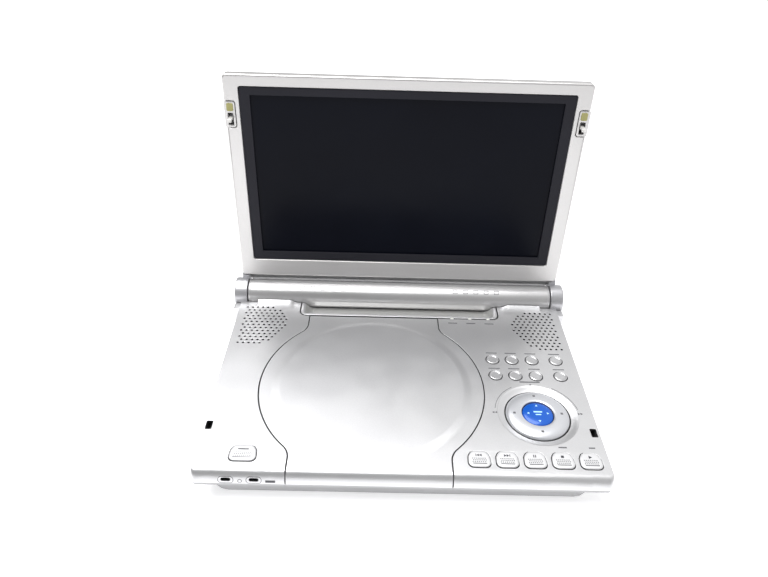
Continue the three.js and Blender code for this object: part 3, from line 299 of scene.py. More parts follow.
def profile_point(run):
    """Point and outward normal of the nose's profile after that length of it."""
    last = len(PROFILE) - 2
    i = next((k for k in range(last + 1) if LENGTHS[k + 1] >= run), last)
    a, b = PROFILE[i], PROFILE[i + 1]
    span = LENGTHS[i + 1] - LENGTHS[i]
    part = (run - LENGTHS[i]) / span
    along = ((b[0] - a[0]) / span, (b[1] - a[1]) / span)
    point = (a[0] + part * (b[0] - a[0]), a[1] + part * (b[1] - a[1]))
    return point, (along[1], -along[0])


def share(value, start, end):
    """How far a value has come from start to end, from 0 to 1."""
    return min(1.0, max(0.0, (value - start) / (end - start)))


def fairing(x, y):
    """How far the deck's rear edge sweeps up towards the barrel, beside the trough."""
    along = share(y, FAIRING_FRONT, DECK_REAR)
    inner = share(abs(x), FAIRING_INNER, FAIRING_INNER + FAIRING_BLEND)
    outer = share(abs(x), FAIRING_OUTER, FAIRING_OUTER - FAIRING_END)
    return FAIRING_RISE * along**1.7 * inner * inner * (3 - 2 * inner) * outer


def bend(x, y, z):
    """Bends a flat plate's point over the nose, rounds the front corners, and places it."""
    z += fairing(x, y)
    if y < NOSE_ROUND:
        (py, pz), (ny, nz) = profile_point(NOSE_ROUND - y)
        y, z = py + ny * z, pz + nz * z
    past = min(max(0.0, abs(x) - (DECK_HALF - CORNER)), CORNER)
    back = CORNER - math.sqrt(max(0.0, CORNER**2 - past**2))
    return deck(x, y + back * share(y, CORNER_FADE, -NOSE), z)


BEND_CUTS = [("y", NOSE_ROUND - LENGTHS[i]) for i in range(0, len(LENGTHS), 3)]
BEND_CUTS += [("y", NOSE_ROUND - LENGTHS[-2]), ("y", CORNER_FADE), ("y", CORNER_CUT)]
for degrees in (0, 20, 38, 54, 68, 80):
    reach = DECK_HALF - CORNER + CORNER * math.sin(math.radians(degrees))
    BEND_CUTS += [("x", reach), ("x", -reach)]
REAR_CUTS = [("y", FAIRING_FRONT + step * 1.5) for step in range(6)]
for side in (-1, 1):
    REAR_CUTS += [("x", side * FAIRING_OUTER), ("x", side * (FAIRING_OUTER - FAIRING_END))]
    REAR_CUTS += [("x", side * (FAIRING_INNER + FAIRING_BLEND * step / 5)) for step in range(6)]


# ---- Outlines, as lists of points that run anticlockwise


def arc(x, y, radius, start, end, steps):
    """Points on an arc, with its angles in degrees."""
    points = []
    for i in range(steps + 1):
        angle = math.radians(start + (end - start) * i / steps)
        points.append((x + radius * math.cos(angle), y + radius * math.sin(angle)))
    return points


def circle(x, y, radius, sides=48):
    return arc(x, y, radius, 0, 360, sides)[:-1]


def rounded(x0, x1, y0, y1, radii, steps=6):
    """A rounded rectangle. radii is one value or four, from the front left corner anticlockwise."""
    r = [radii] * 4 if isinstance(radii, (int, float)) else radii
    return (
        arc(x0 + r[0], y0 + r[0], r[0], 180, 270, steps)
        + arc(x1 - r[1], y0 + r[1], r[1], 270, 360, steps)
        + arc(x1 - r[2], y1 - r[2], r[2], 0, 90, steps)
        + arc(x0 + r[3], y1 - r[3], r[3], 90, 180, steps)
    )


def centred(x, y, size, radii, steps=5):
    return rounded(x - size[0] / 2, x + size[0] / 2, y - size[1] / 2, y + size[1] / 2, radii, steps)


def cover_side(side, grow, front, rear):
    """One side of the disc cover from front to rear: neck, hollow fillet, round side, fillet, neck."""
    radius, half, fillet = COVER_RADIUS + grow, NECK_HALF + grow, NECK_FILLET - grow
    across = half + fillet
    up = math.sqrt((radius + fillet) ** 2 - across**2)
    turn = math.degrees(math.atan2(up, across))
    points = [(half, front)]
    points += arc(across, DISC_Y - up, fillet, 180, 180 - turn, 10)
    points += arc(0, DISC_Y, radius, -turn, turn, 64)[1:-1]
    points += arc(across, DISC_Y + up, fillet, 180 + turn, 180, 10)
    points.append((half, rear))
    return [(DISC_X + side * x, y) for x, y in points]


def cover_outline(grow, front, rear):
    return cover_side(1, grow, front, rear) + cover_side(-1, grow, front, rear)[::-1]


def speaker_holes(side):
    """Staggered rows of small holes. Their field is straight towards the deck's side and bowed inwards."""
    holes = []
    for row in range(GRILLE_ROWS):
        y = GRILLE_FRONT + row * GRILLE_ROW_PITCH
        half = GRILLE_FRONT_HALF if y < GRILLE_MIDDLE else GRILLE_REAR_HALF
        inner = GRILLE_ROOT - GRILLE_BOW * math.sqrt(1 - ((y - GRILLE_MIDDLE) / half) ** 2)
        x = GRILLE_SIDE - (row % 2) * GRILLE_PITCH / 2
        while x > inner - 0.5:
            holes.append(circle(side * x, y, GRILLE_HOLE, 10))
            x -= GRILLE_PITCH
    return holes


# ---- Mesh makers


def paint_wall_shade(mesh, top, side):
    """Paints shade: gives the second, black material to the faces below a height, but for those on the
    deck's outer side.
    """
    for face in mesh.faces:
        middle = face.calc_center_median()
        if middle.z < top and abs(middle.x) < side:
            face.material_index = 1


def finish_mesh(name, mesh, place, materials, body, replaced, sharp):
    """Places the mesh's points, shades it, and makes the piece that rides on its body."""
    for vertex in mesh.verts:
        vertex.co = place(*vertex.co)
    bmesh.ops.recalc_face_normals(mesh, faces=mesh.faces)
    data = bpy.data.meshes.new(name)
    mesh.to_mesh(data)
    mesh.free()
    for item in materials:
        data.materials.append(item)
    data.shade_smooth()
    data.set_sharp_from_angle(angle=math.radians(sharp))
    piece = bpy.data.objects.new(name, data)
    bpy.context.scene.collection.objects.link(piece)
    weighted = piece.modifiers.new("weighted_normals", "WEIGHTED_NORMAL")
    weighted.keep_sharp = True
    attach(piece, body)
    if replaced:
        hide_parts(*replaced)
    return piece


def inset_points(loop, inset):
    """Moves a loop's points to its left, by the same distance from both of a point's edges."""
    moved = []
    count = len(loop)
    for i in range(count):
        before, here, after = Vector(loop[i - 1]), Vector(loop[i]), Vector(loop[(i + 1) % count])
        a, b = (here - before).normalized(), (after - here).normalized()
        left_a, left_b = Vector((-a.y, a.x)), Vector((-b.y, b.x))
        middle = left_a + left_b
        scale = 2 / max(middle.length_squared, 1.0)
        moved.append((here.x + middle.x * scale * inset, here.y + middle.y * scale * inset))
    return moved


def add_cap(mesh, loops, upward):
    """Fills the flat area between an outer loop and its holes."""
    flat = [v for loop in loops for v in loop]
    for a, b, c in tessellate_polygon([[v.co for v in loop] for loop in loops]):
        if len({a, b, c}) < 3:
            continue
        p, q, r = flat[a].co, flat[b].co, flat[c].co
        turn = (q.x - p.x) * (r.y - p.y) - (q.y - p.y) * (r.x - p.x)
        if abs(turn) < 1e-9:
            continue
        order = (a, b, c) if (turn > 0) == upward else (a, c, b)
        try:
            mesh.faces.new([flat[i] for i in order])
        except ValueError:
            continue


def add_slab(mesh, outer, holes, rings, hole_rings=None):
    """A closed plate. Each ring is (inset, z), from the underside round the edge to the top."""
    loops = [outer] + [hole[::-1] for hole in holes]
    bottoms, tops = [], []
    for index, loop in enumerate(loops):
        used = hole_rings if index and hole_rings else rings
        layers = []
        for inset, z in used:
            layers.append([mesh.verts.new((x, y, z)) for x, y in inset_points(loop, inset)])
        for low, high in zip(layers, layers[1:]):
            for i in range(len(loop)):
                j = (i + 1) % len(loop)
                mesh.faces.new((low[i], low[j], high[j], high[i]))
        bottoms.append(layers[0])
        tops.append(layers[-1])
    add_cap(mesh, bottoms, False)
    add_cap(mesh, tops, True)


def cut_lines(mesh, cuts):
    """Adds edges along planes of constant x or y, so that the mesh can bend there."""
    for axis, at in cuts:
        normal = (1, 0, 0) if axis == "x" else (0, 1, 0)
        point = (at, 0, 0) if axis == "x" else (0, at, 0)
        everything = mesh.verts[:] + mesh.edges[:] + mesh.faces[:]
        bmesh.ops.bisect_plane(mesh, geom=everything, dist=1e-5, plane_co=point, plane_no=normal)


def edge_rings(thickness, radius, steps=4):
    """A plate's rings with a rounded upper edge and its top at z = 0."""
    rings = [(0, -thickness)]
    for i in range(steps + 1):
        angle = math.radians(90 * i / steps)
        rings.append((radius * (1 - math.cos(angle)), -radius * (1 - math.sin(angle))))
    return rings


def slab(name, outer, rings, material, body, place=deck, holes=(), replaced=(), cuts=(), sharp=38):
    mesh = bmesh.new()
    add_slab(mesh, outer, list(holes), rings)
    cut_lines(mesh, cuts)
    used = material if isinstance(material, list) else [material]
    # With a second material, the walls of the cut get black painted shade
    if len(used) > 1:
        paint_wall_shade(mesh, -WALL_TOP, DECK_HALF)
    return finish_mesh(name, mesh, place, used, body, replaced, sharp)


def add_lathe(mesh, profile, sides, x=0, y=0):
    """Turns a profile of (radius, z) round an upright axis. Its ends lie on the axis or it is closed."""
    closed = profile[0][0] > 0 and profile[-1][0] > 0
    layers = []
    for radius, z in profile:
        if radius == 0:
            layers.append([mesh.verts.new((x, y, z))])
            continue
        layers.append([mesh.verts.new((px, py, z)) for px, py in circle(x, y, radius, sides)])
    pairs = list(zip(layers, layers[1:]))
    if closed:
        pairs.append((layers[-1], layers[0]))
    for low, high in pairs:
        for i in range(sides):
            j = (i + 1) % sides
            if len(low) == 1:
                mesh.faces.new((low[0], high[j], high[i]))
            elif len(high) == 1:
                mesh.faces.new((low[i], low[j], high[0]))
            else:
                mesh.faces.new((low[i], low[j], high[j], high[i]))


def lathe(name, profile, material, body, place=deck, x=0, y=0, sides=64, replaced=(), sharp=38):
    mesh = bmesh.new()
    add_lathe(mesh, profile, sides, x, y)
    return finish_mesh(name, mesh, place, [material], body, replaced, sharp)


def marks(name, outlines, material, body, place=deck, z=0.0, thickness=0.04):
    """Thin printed shapes on a face, all in one piece. An outline may be (outer, hole)."""
    mesh = bmesh.new()
    for outline in outlines:
        outer, holes = outline if isinstance(outline, tuple) else (outline, [])
        add_slab(mesh, outer, holes, [(0, z - thickness / 2), (0, z + thickness)])
    return finish_mesh(name, mesh, place, [material], body, (), 30)


# ---- Materials


def new_material(name):
    made = bpy.data.materials.new(name)
    made.use_nodes = True
    tree = made.node_tree
    return made, tree, tree.nodes["Principled BSDF"]


def noise_node(tree, coords, scale, detail=2.0):
    node = tree.nodes.new("ShaderNodeTexNoise")
    node.inputs["Scale"].default_value = scale
    node.inputs["Detail"].default_value = detail
    tree.links.new(coords, node.inputs["Vector"])
    return node.outputs["Fac"]


def spread(tree, value, low, high, start=0.35, end=0.65):
    """Maps a noise value onto a range of another value."""
    node = tree.nodes.new("ShaderNodeMapRange")
    node.inputs["From Min"].default_value = start
    node.inputs["From Max"].default_value = end
    node.inputs["To Min"].default_value = low
    node.inputs["To Max"].default_value = high
    tree.links.new(value, node.inputs["Value"])
    return node.outputs["Result"]


def surface(
    name,
    colour,
    dark,
    roughness,
    metallic=0.0,
    grain=2500,
    bump=0.15,
    depth=0.00004,
    blotch=14,
    rough_spread=0.015,
    flake=0.0,
    coat=0.0,
    specular=0.5,
):
    """A moulded, painted or metal surface: slow colour change, fine grain in the bump, uneven gloss."""
    made, tree, shader = new_material(name)
    coords = tree.nodes.new("ShaderNodeTexCoord").outputs["Object"]
    ramp = tree.nodes.new("ShaderNodeValToRGB")
    ramp.color_ramp.elements[0].position = 0.3
    ramp.color_ramp.elements[0].color = (*dark, 1)
    ramp.color_ramp.elements[1].position = 0.62
    ramp.color_ramp.elements[1].color = (*colour, 1)
    tree.links.new(noise_node(tree, coords, blotch, 4), ramp.inputs["Fac"])
    base = ramp.outputs["Color"]
    fine = noise_node(tree, coords, grain)
    height = fine
    if flake:
        cells = tree.nodes.new("ShaderNodeTexVoronoi")
        cells.inputs["Scale"].default_value = grain * 1.6
        tree.links.new(coords, cells.inputs["Vector"])
        bright = spread(tree, cells.outputs["Distance"], 1 + flake, 1 - flake, 0.1, 0.7)
        mix = tree.nodes.new("ShaderNodeMix")
        mix.data_type = "RGBA"
        mix.blend_type = "MULTIPLY"
        mix.inputs["Factor"].default_value = 1
        tree.links.new(base, mix.inputs["A"])
        tree.links.new(bright, mix.inputs["B"])
        base = mix.outputs["Result"]
        height = cells.outputs["Distance"]
    tree.links.new(base, shader.inputs["Base Color"])
    gloss = noise_node(tree, coords, blotch * 3.7, 5)
    rough = spread(tree, gloss, roughness - rough_spread, roughness + rough_spread)
    tree.links.new(rough, shader.inputs["Roughness"])
    bumped = tree.nodes.new("ShaderNodeBump")
    bumped.inputs["Strength"].default_value = bump
    bumped.inputs["Distance"].default_value = depth
    tree.links.new(height, bumped.inputs["Height"])
    tree.links.new(bumped.outputs["Normal"], shader.inputs["Normal"])
    shader.inputs["Metallic"].default_value = metallic
    shader.inputs["Specular IOR Level"].default_value = specular
    shader.inputs["Coat Weight"].default_value = coat
    shader.inputs["Coat Roughness"].default_value = 0.12
    return made


SILVER = surface(
    "silver_paint", (0.72, 0.72, 0.73), (0.69, 0.69, 0.705), 0.34, 0.72, 2600, 0.16, flake=0.05
)
BEZEL = surface(
    "bezel_paint", (0.66, 0.65, 0.645), (0.648, 0.638, 0.634), 0.36, 0.62, 2600, 0.16, flake=0.05
)
BACK_PAINT = surface(
    "back_paint", (0.36, 0.36, 0.365), (0.35, 0.35, 0.355), 0.38, 0.6, 2600, 0.16, flake=0.05
)
# A darker paint for the trough's sunken channel, which is painted shade of the recess
TROUGH_SHADE_PAINT = surface("trough_painted_shade", (0.62, 0.62, 0.61), (0.59, 0.59, 0.58), 0.4, 0.7, 2600, 0.16)
BARREL = surface(
    "barrel_paint", (0.74, 0.735, 0.74), (0.70, 0.695, 0.70), 0.3, 0.66, 2600, 0.14, flake=0.05
)
KNUCKLE = surface(
    "knuckle_paint", (0.56, 0.56, 0.58), (0.52, 0.52, 0.54), 0.34, 0.6, 2600, 0.15, flake=0.05
)
KEY = surface("key_plastic", (0.74, 0.74, 0.75), (0.70, 0.70, 0.715), 0.36, 0.45, 1800, 0.16)
DIAL_PAINT = surface(
    "dial_paint", (0.68, 0.69, 0.72), (0.64, 0.65, 0.68), 0.32, 0.6, 2600, 0.16, flake=0.05
)
BLUE = surface(
    "blue_key",
    (0.008, 0.10, 0.50),
    (0.006, 0.08, 0.42),
    0.24,
    0.1,
    900,
    0.05,
    coat=0.15,
    rough_spread=0.03,
)
GREY_SHELL = surface("grey_shell", (0.5, 0.5, 0.51), (0.46, 0.46, 0.47), 0.5, 0.2, 1500, 0.3)
# Black plastic for the black parts, and also the black painted shade on the walls of cuts, gaps and
# recesses
BLACK_AND_SHADE = surface("black_plastic", (0.02, 0.02, 0.022), (0.014, 0.014, 0.016), 0.5, 0, 1400, 0.35)
MASK = surface(
    "mask_plastic", (0.021, 0.021, 0.028), (0.017, 0.017, 0.023), 0.5, 0, 2200, 0.2, specular=0.16
)
GLASS = surface(
    "lcd_glass",
    (0.004, 0.005, 0.010),
    (0.003, 0.0035, 0.007),
    0.22,
    0,
    3500,
    0.04,
    rough_spread=0.03,
    specular=0.07,
    blotch=9,
)
HOOK = surface("hook_plastic", (0.78, 0.77, 0.75), (0.72, 0.71, 0.69), 0.4, 0.1, 1500, 0.2)
STEEL = surface("steel", (0.62, 0.63, 0.65), (0.55, 0.56, 0.58), 0.26, 1, 2000, 0.12)
PRESSED = surface("pressed_metal", (0.5, 0.5, 0.5), (0.42, 0.42, 0.43), 0.42, 0.9, 900, 0.25)
BOARD = surface("board", (0.03, 0.14, 0.06), (0.02, 0.1, 0.045), 0.5, 0, 700, 0.3)
CELL = surface("cell_wrap", (0.03, 0.16, 0.26), (0.02, 0.12, 0.2), 0.35, 0, 900, 0.1)
LENS = surface(
    "lens_glass", (0.05, 0.09, 0.2), (0.03, 0.06, 0.14), 0.08, 0, 900, 0.02, rough_spread=0.02, coat=1
)
LAMP = surface("lamp_plastic", (0.78, 0.79, 0.74), (0.7, 0.71, 0.66), 0.3, 0, 1200, 0.1)
RUBBER = surface("rubber", (0.03, 0.03, 0.03), (0.02, 0.02, 0.02), 0.85, 0, 1100, 0.5)
PAD = surface("pad_rubber", (0.42, 0.40, 0.17), (0.36, 0.34, 0.13), 0.7, 0, 1500, 0.3)
PRINT = surface(
    "grey_print", (0.06, 0.06, 0.07), (0.045, 0.045, 0.055), 0.6, 0, 3000, 0.1, specular=0.12
)
ICE = surface("ice_print", (0.45, 0.75, 0.95), (0.4, 0.7, 0.9), 0.5, 0, 3000, 0.1)
KEY_SILVER = surface(
    "key_silver", (0.66, 0.66, 0.67), (0.62, 0.62, 0.635), 0.34, 0.72, 2600, 0.16, flake=0.04
)
GRIP = surface(
    "grip_plastic", (0.2, 0.2, 0.21), (0.17, 0.17, 0.18), 0.5, 0, 1800, 0.16, specular=0.2
)
PALE_PRINT = surface(
    "pale_print", (0.14, 0.14, 0.15), (0.115, 0.115, 0.125), 0.6, 0, 3000, 0.1, specular=0.12
)

CAD_MATERIALS = {
    BLACK_AND_SHADE: ["power_inlet", "disc_cover_liner", "drive_chassis", "pickup_sled", "turntable"],
    GREY_SHELL: ["bottom_shell", "cover_catch"],
    GLASS: ["lcd_panel"],
    STEEL: [
        "guide_rod_front",
        "guide_rod_rear",
        "feed_screw",
        "hinge_shaft_left",
        "hinge_shaft_right",
        "disc_cover_pin_left",
        "disc_cover_pin_right",
    ],
    PRESSED: ["spindle_motor", "feed_motor", "backlight_tray", "speaker_left", "speaker_right"],
    BOARD: ["key_board", "main_board"],
    CELL: ["battery_cell_1", "battery_cell_2", "battery_cell_3"],
    LENS: ["pickup_lens"],
    LAMP: ["indicator_light_guide"],
    RUBBER: ["foot_front_left", "foot_front_right", "foot_rear_left", "foot_rear_right"],
    SILVER: ["top_deck", "disc_cover"],
}
for material, names in CAD_MATERIALS.items():
    for node_name in names:
        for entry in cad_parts[node_name].material_slots:
            entry.link = "OBJECT"
            entry.material = material


# ---- Deck


def large_key_x(index):
    """The middle of a large key, counted from the left."""
    return LARGE_KEY_START + index * LARGE_KEY_PITCH


def key_outline(x, y, size, grow):
    """A key with a narrower, chamfered rear edge, sides that widen forwards and round front corners."""
    half, deep = size[0] / 2 + grow, size[1] / 2 + grow
    round_by, chamfer = KEY_CORNER, KEY_CHAMFER
    rear = half - KEY_TAPER
    front = arc(x - half + round_by, y - deep + round_by, round_by, 180, 270, 5)
    front += arc(x + half - round_by, y - deep + round_by, round_by, 270, 360, 5)
    back = [(x + half - 0.25, y + deep - chamfer - 1.6), (x + rear, y + deep - chamfer)]
    back += [(x + rear - chamfer * 0.45, y + deep - chamfer * 0.3), (x + rear - chamfer, y + deep)]
    mirrored = [(2 * x - px, py) for px, py in back[::-1]]
    return front + back + mirrored


def trough_side(side):
    """The deck's edge round one end of the trough, from the cover's gap to the deck's rear."""
    corner = TROUGH_CORNER
    x = TROUGH_HALF
    points = arc(x - corner, TROUGH_FRONT + corner, corner, -90, 0, 6)
    points.append((x, DECK_REAR))
    return [(side * px, py) for px, py in points]


def deck_half(side):
    """The outline of the deck's plate on one side of the disc cover, before it is bent."""
    front = FLAT_FRONT
    inner = cover_side(side, SEAM, front, TROUGH_FRONT)
    outer = [(side * DECK_HALF, DECK_REAR), (side * DECK_HALF, front)]
    loop = inner + trough_side(side) + outer
    return loop if side < 0 else loop[::-1]


def as_is(x, y, z):
    """Leaves a point that is placed already."""
    return Vector((x, y, z))


def deck_piece(name, side, holes, replaced=()):
    """One side of the deck: its bent plate, and the skirt along the deck's outer side."""
    mesh = bmesh.new()
    rim = edge_rings(DECK_PLATE, EDGE_ROUND, 3)
    add_slab(mesh, deck_half(side), holes, rim, edge_rings(DECK_PLATE, HOLE_ROUND, 2))
    cut_lines(mesh, BEND_CUTS + REAR_CUTS)
    # The walls of the holes and cuts get black painted shade
    paint_wall_shade(mesh, -WALL_TOP, DECK_HALF - 0.1)
    skirt = bmesh.new()
    low, high = sorted((side * (DECK_HALF - SKIRT_WIDTH), side * DECK_HALF))
    wall = [(low, SKIRT_FRONT), (high, SKIRT_FRONT), (high, DECK_REAR), (low, DECK_REAR)]
    add_slab(skirt, wall, [], [(0, -SKIRT), (0, -DECK_PLATE)])
    cut_lines(skirt, [("y", CORNER_FADE), ("y", CORNER_CUT)])
    # The skirt's inner faces get black painted shade
    paint_wall_shade(skirt, 0, DECK_HALF - 0.1)
    for vertex in skirt.verts:
        vertex.co.y += CORNER * share(vertex.co.y, CORNER_FADE, -NOSE)
    for vertex in mesh.verts:
        vertex.co = bend(*vertex.co)
    for vertex in skirt.verts:
        vertex.co = deck(*vertex.co)
    data = bpy.data.meshes.new("skirt")
    skirt.to_mesh(data)
    skirt.free()
    mesh.from_mesh(data)
    return finish_mesh(name, mesh, as_is, [SILVER, BLACK_AND_SHADE], "base", replaced, 38)


latch_holes = {s: centred(s * LATCH_X, LATCH_Y, LATCH_SIZE, 0.6) for s in (-1, 1)}
right_holes = speaker_holes(1) + [latch_holes[1], circle(*DIAL, BOWL_RADIUS + 0.02, 96)]
right_holes += [circle(x, y, SMALL_KEY_RADIUS + SMALL_KEY_GAP, 40) for x, y in SMALL_KEYS]
for key_index in range(LARGE_KEYS):
    right_holes.append(key_outline(large_key_x(key_index), LARGE_KEY_Y, LARGE_KEY_SIZE, KEY_GAP))
left_holes = speaker_holes(-1) + [latch_holes[-1]]
left_holes.append(key_outline(*OPEN_KEY, OPEN_KEY_SIZE, KEY_GAP))
socket_y = flat_y(SOCKET_Z)
left_holes += [centred(x, socket_y, SOCKET_SLOT, 0.98, 8) for x in SOCKET_X]
deck_piece("deck_panel_left", -1, left_holes, ["top_deck"])
deck_piece("deck_panel_right", 1, right_holes)

# The cover's edge walls get black painted shade, so that the seam round it reads dark
slab(
    "disc_cover_panel",
    cover_outline(0, FLAT_FRONT, COVER_REAR),
    edge_rings(COVER_PLATE, EDGE_ROUND, 3),
    [SILVER, BLACK_AND_SHADE],
    "disc_cover",
    bend,
    replaced=["disc_cover"],
    cuts=BEND_CUTS,
)


def emboss_profile():
    """The cover's raised middle: flat, then a smooth slope down to its rim."""
    half_rise = (EMBOSS_TOP - EMBOSS_FOOT) / 2
    points = [(0, EMBOSS_TOP)]
    for step in range(EMBOSS_STEPS + 1):
        part = step / EMBOSS_STEPS
        height = EMBOSS_FOOT + half_rise * (1 + math.cos(math.pi * part))
        points.append((EMBOSS_RADIUS - EMBOSS_SLOPE * (1 - part), height))
    return points + [(EMBOSS_RADIUS, EMBOSS_BOTTOM), (0, EMBOSS_BOTTOM)]


lathe(
    "disc_cover_emboss",
    emboss_profile(),
    SILVER,
    "disc_cover",
    x=DISC_X,
    y=DISC_Y,
    sides=160,
)


def trough_pan():
    """A shallow channel in front of the barrel. Its rear edge follows the barrel's curve."""
    mesh = bmesh.new()
    half, front = TROUGH_HALF - PAN_GAP, TROUGH_FRONT + TROUGH_GAP
    corner = TROUGH_CORNER - PAN_GAP
    outer = rounded(-half, half, front, HINGE_Y + 20, [corner, corner, 1, 1], 8)
    rings = [(0, -8.4), (0, -1.0), (0.12, -0.7), (0.4, -0.5), (1.5, -0.5), (2.2, -0.75), (3.0, -1.4)]
    rings += [(3.9, -2.6), (4.9, -4.1), (6.1, -5.5), (7.6, -6.4), (9.2, -6.8)]
    add_slab(mesh, outer, [], rings)
    everything = mesh.verts[:] + mesh.edges[:] + mesh.faces[:]
    cut = bmesh.ops.bisect_plane(
        mesh,
        geom=everything,
        dist=1e-5,
        plane_co=(0, TROUGH_REAR, 0),
        plane_no=(0, 1, 0),
        clear_outer=True,
    )
    edges = [e for e in cut["geom_cut"] if isinstance(e, bmesh.types.BMEdge)]
    bmesh.ops.triangle_fill(mesh, edges=edges, use_beauty=True)
    clear = BARREL_RADIUS + BARREL_GAP
    for vertex in mesh.verts:
        rise = vertex.co.z - HINGE_Z
        limit = HINGE_Y - math.sqrt(max(0.0, clear**2 - rise**2))
        vertex.co.y = min(vertex.co.y, limit)
    # Painted shade: the walls outside the pan's lip go black for the dark gap, and the sunken channel
    # below -1.2 gets the darker trough paint as its shade
    for face in mesh.faces:
        middle = face.calc_center_median()
        outside = middle.y < front + 0.06 or abs(middle.x) > half - 0.06
        if outside and middle.z < -0.9:
            face.material_index = 1
        elif middle.z < -1.2:
            face.material_index = 2
    used = [SILVER, BLACK_AND_SHADE, TROUGH_SHADE_PAINT]
    return finish_mesh("trough_pan", mesh, deck, used, "base", (), 38)


trough_pan()


def ear(name, side):
    """The block at a rear corner of the base, hollowed for the knuckle that turns in it."""
    clear = KNUCKLE_RADIUS + KNUCKLE_GAP
    rise = EAR_TOP - HINGE_Z
    reach = math.sqrt(clear**2 - rise**2)
    turn = math.degrees(math.atan2(rise, -reach)) % 360
    last = math.degrees(math.acos((EAR_REAR - HINGE_Y) / clear))
    saddle = arc(HINGE_Y, HINGE_Z, clear, turn, 360 - last, 20)
    loop = [(EAR_FRONT, EAR_BOTTOM), (EAR_REAR, EAR_BOTTOM)] + saddle[::-1] + [(EAR_FRONT, EAR_TOP)]
    x0, x1 = EAR_START, KNUCKLE_END
    rings = [(0.8, x0), (0.25, x0 + 0.2), (0, x0 + 0.8)]
    rings += [(0, x1 - 1.6), (0.25, x1 - 0.7), (0.8, x1 - 0.2), (1.4, x1)]
    mesh = bmesh.new()
    add_slab(mesh, loop, [], rings)

    def place(y, z, x):
        return deck(side * x, y, z)

    finish_mesh(name, mesh, place, [SILVER], "base", (), 50)


ear("hinge_ear_left", -1)
ear("hinge_ear_right", 1)

# ---- Barrel and knuckles


def barrel():
    """The long tube on the hinge axis, with a groove near each end and printed squares."""
    r, half = BARREL_RADIUS, BARREL_HALF
    inner = r - GROOVE_DEPTH
    right = [(r, 60), (r, GROOVE_START), (inner, GROOVE_START + GROOVE_SLOPE)]
    right += [(inner, GROOVE_END - GROOVE_SLOPE), (r, GROOVE_END), (r, half - 0.7)]
    right += [(r - 0.2, half - 0.2), (r - 0.7, half), (r - 2.2, half), (r - 2.2, half - BARREL_CUP)]
    left = [(radius, -z) for radius, z in right[::-1]]
    profile = [(0, BARREL_CUP - half)] + left + [(r, 0)] + right + [(0, half - BARREL_CUP)]
    lathe(
        "battery_barrel",
        profile,
        BARREL,
        "base",
        along_barrel,
        sides=96,
        replaced=["barrel_shell"],
    )

    def wrap(x, y, z):
        """Wraps a flat mark round the barrel's upper front."""
        angle = math.radians(CELL_MARK_ANGLE) - y / BARREL_RADIUS
        radius = BARREL_RADIUS + z
        return deck(x, HINGE_Y + radius * math.cos(angle), HINGE_Z + radius * math.sin(angle))

    squares = []
    for side in (-1, 1):
        for index in range(CELL_MARKS):
            x = side * (CELL_MARK_START + index * CELL_MARK_PITCH)
            squares.append((centred(x, 0, (3.4, 3.0), 0.3, 2), [centred(x, 0, (2.7, 2.3), 0.2, 2)]))
    marks("barrel_marks", squares, PALE_PRINT, "base", wrap, 0.01)


barrel()


def knuckle(label, side):
    """A short drum on the hinge axis and the neck that carries the screen's corner."""
    r, x0, x1 = KNUCKLE_RADIUS, KNUCKLE_START, KNUCKLE_END
    profile = [(0, x0), (r - 0.6, x0), (r - 0.15, x0 + 0.15), (r, x0 + 0.5), (r, x1 - 1.4)]
    for i in range(1, 7):
        angle = math.radians(90 * i / 6)
        inset = KNUCKLE_ROUND * (1 - math.cos(angle))
        short = KNUCKLE_ROUND * (1 - math.sin(angle))
        profile.append((r - inset, x1 - short))
    profile += [(r - 3.2, x1), (r - 3.5, x1 - 0.4), (0, x1 - 0.4)]
    mesh = bmesh.new()
    add_lathe(mesh, [(radius, side * z) for radius, z in profile], 72)
    for vertex in mesh.verts:
        vertex.co = along_barrel(*vertex.co)
    neck = bmesh.new()
    middle = side * (KNUCKLE_START + 2.1)
    outline = rounded(middle - 2.7, middle + 2.7, -8.7, -1.1, 1.4, 4)
    add_slab(neck, outline, [], [(0.6, -5.6), (0, -5), (0, 4), (0, 4.6)])
    for vertex in neck.verts:
        x, back, up = vertex.co
        vertex.co = lid(x, up - 5.0, back + 0.6)
    data = bpy.data.meshes.new("neck")
    neck.to_mesh(data)
    neck.free()
    mesh.from_mesh(data)
    replaced = [f"hinge_knuckle_{label}"]
    finish_mesh(f"knuckle_{label}", mesh, as_is, [KNUCKLE], "screen", replaced, 38)


knuckle("left", -1)
knuckle("right", 1)

# ---- Screen

SCREEN_OUTLINE = rounded(-SCREEN_HALF, SCREEN_HALF, 0, SCREEN_HEIGHT, 3, 8)


def bezel():
    """The screen's front frame, with a window and a hole for each hook's plate."""
    holes = [rounded(-WINDOW_HALF, WINDOW_HALF, WINDOW_BOTTOM, WINDOW_TOP, 1.6, 5)]
    reach, gap = HOOK_PLATE_HALF + HOOK_PLATE_GAP, HOOK_PLATE_GAP
    for side in (-1, 1):
        x = side * LATCH_X
        holes.append(rounded(x - reach, x + reach, HOOK_BOTTOM - gap, HOOK_TOP + gap, 1.6, 5))
    rim = [(0, -4.4), (0, -1.2), (0.09, -0.74), (0.35, -0.35), (0.74, -0.09), (1.2, 0)]
    mesh = bmesh.new()
    add_slab(mesh, SCREEN_OUTLINE, holes, rim, [(0, -1.8), (0, -0.5), (0.1, -0.2), (0.35, 0)])
    finish_mesh("bezel_panel", mesh, lid, [BEZEL], "screen", ["screen_bezel"], 38)


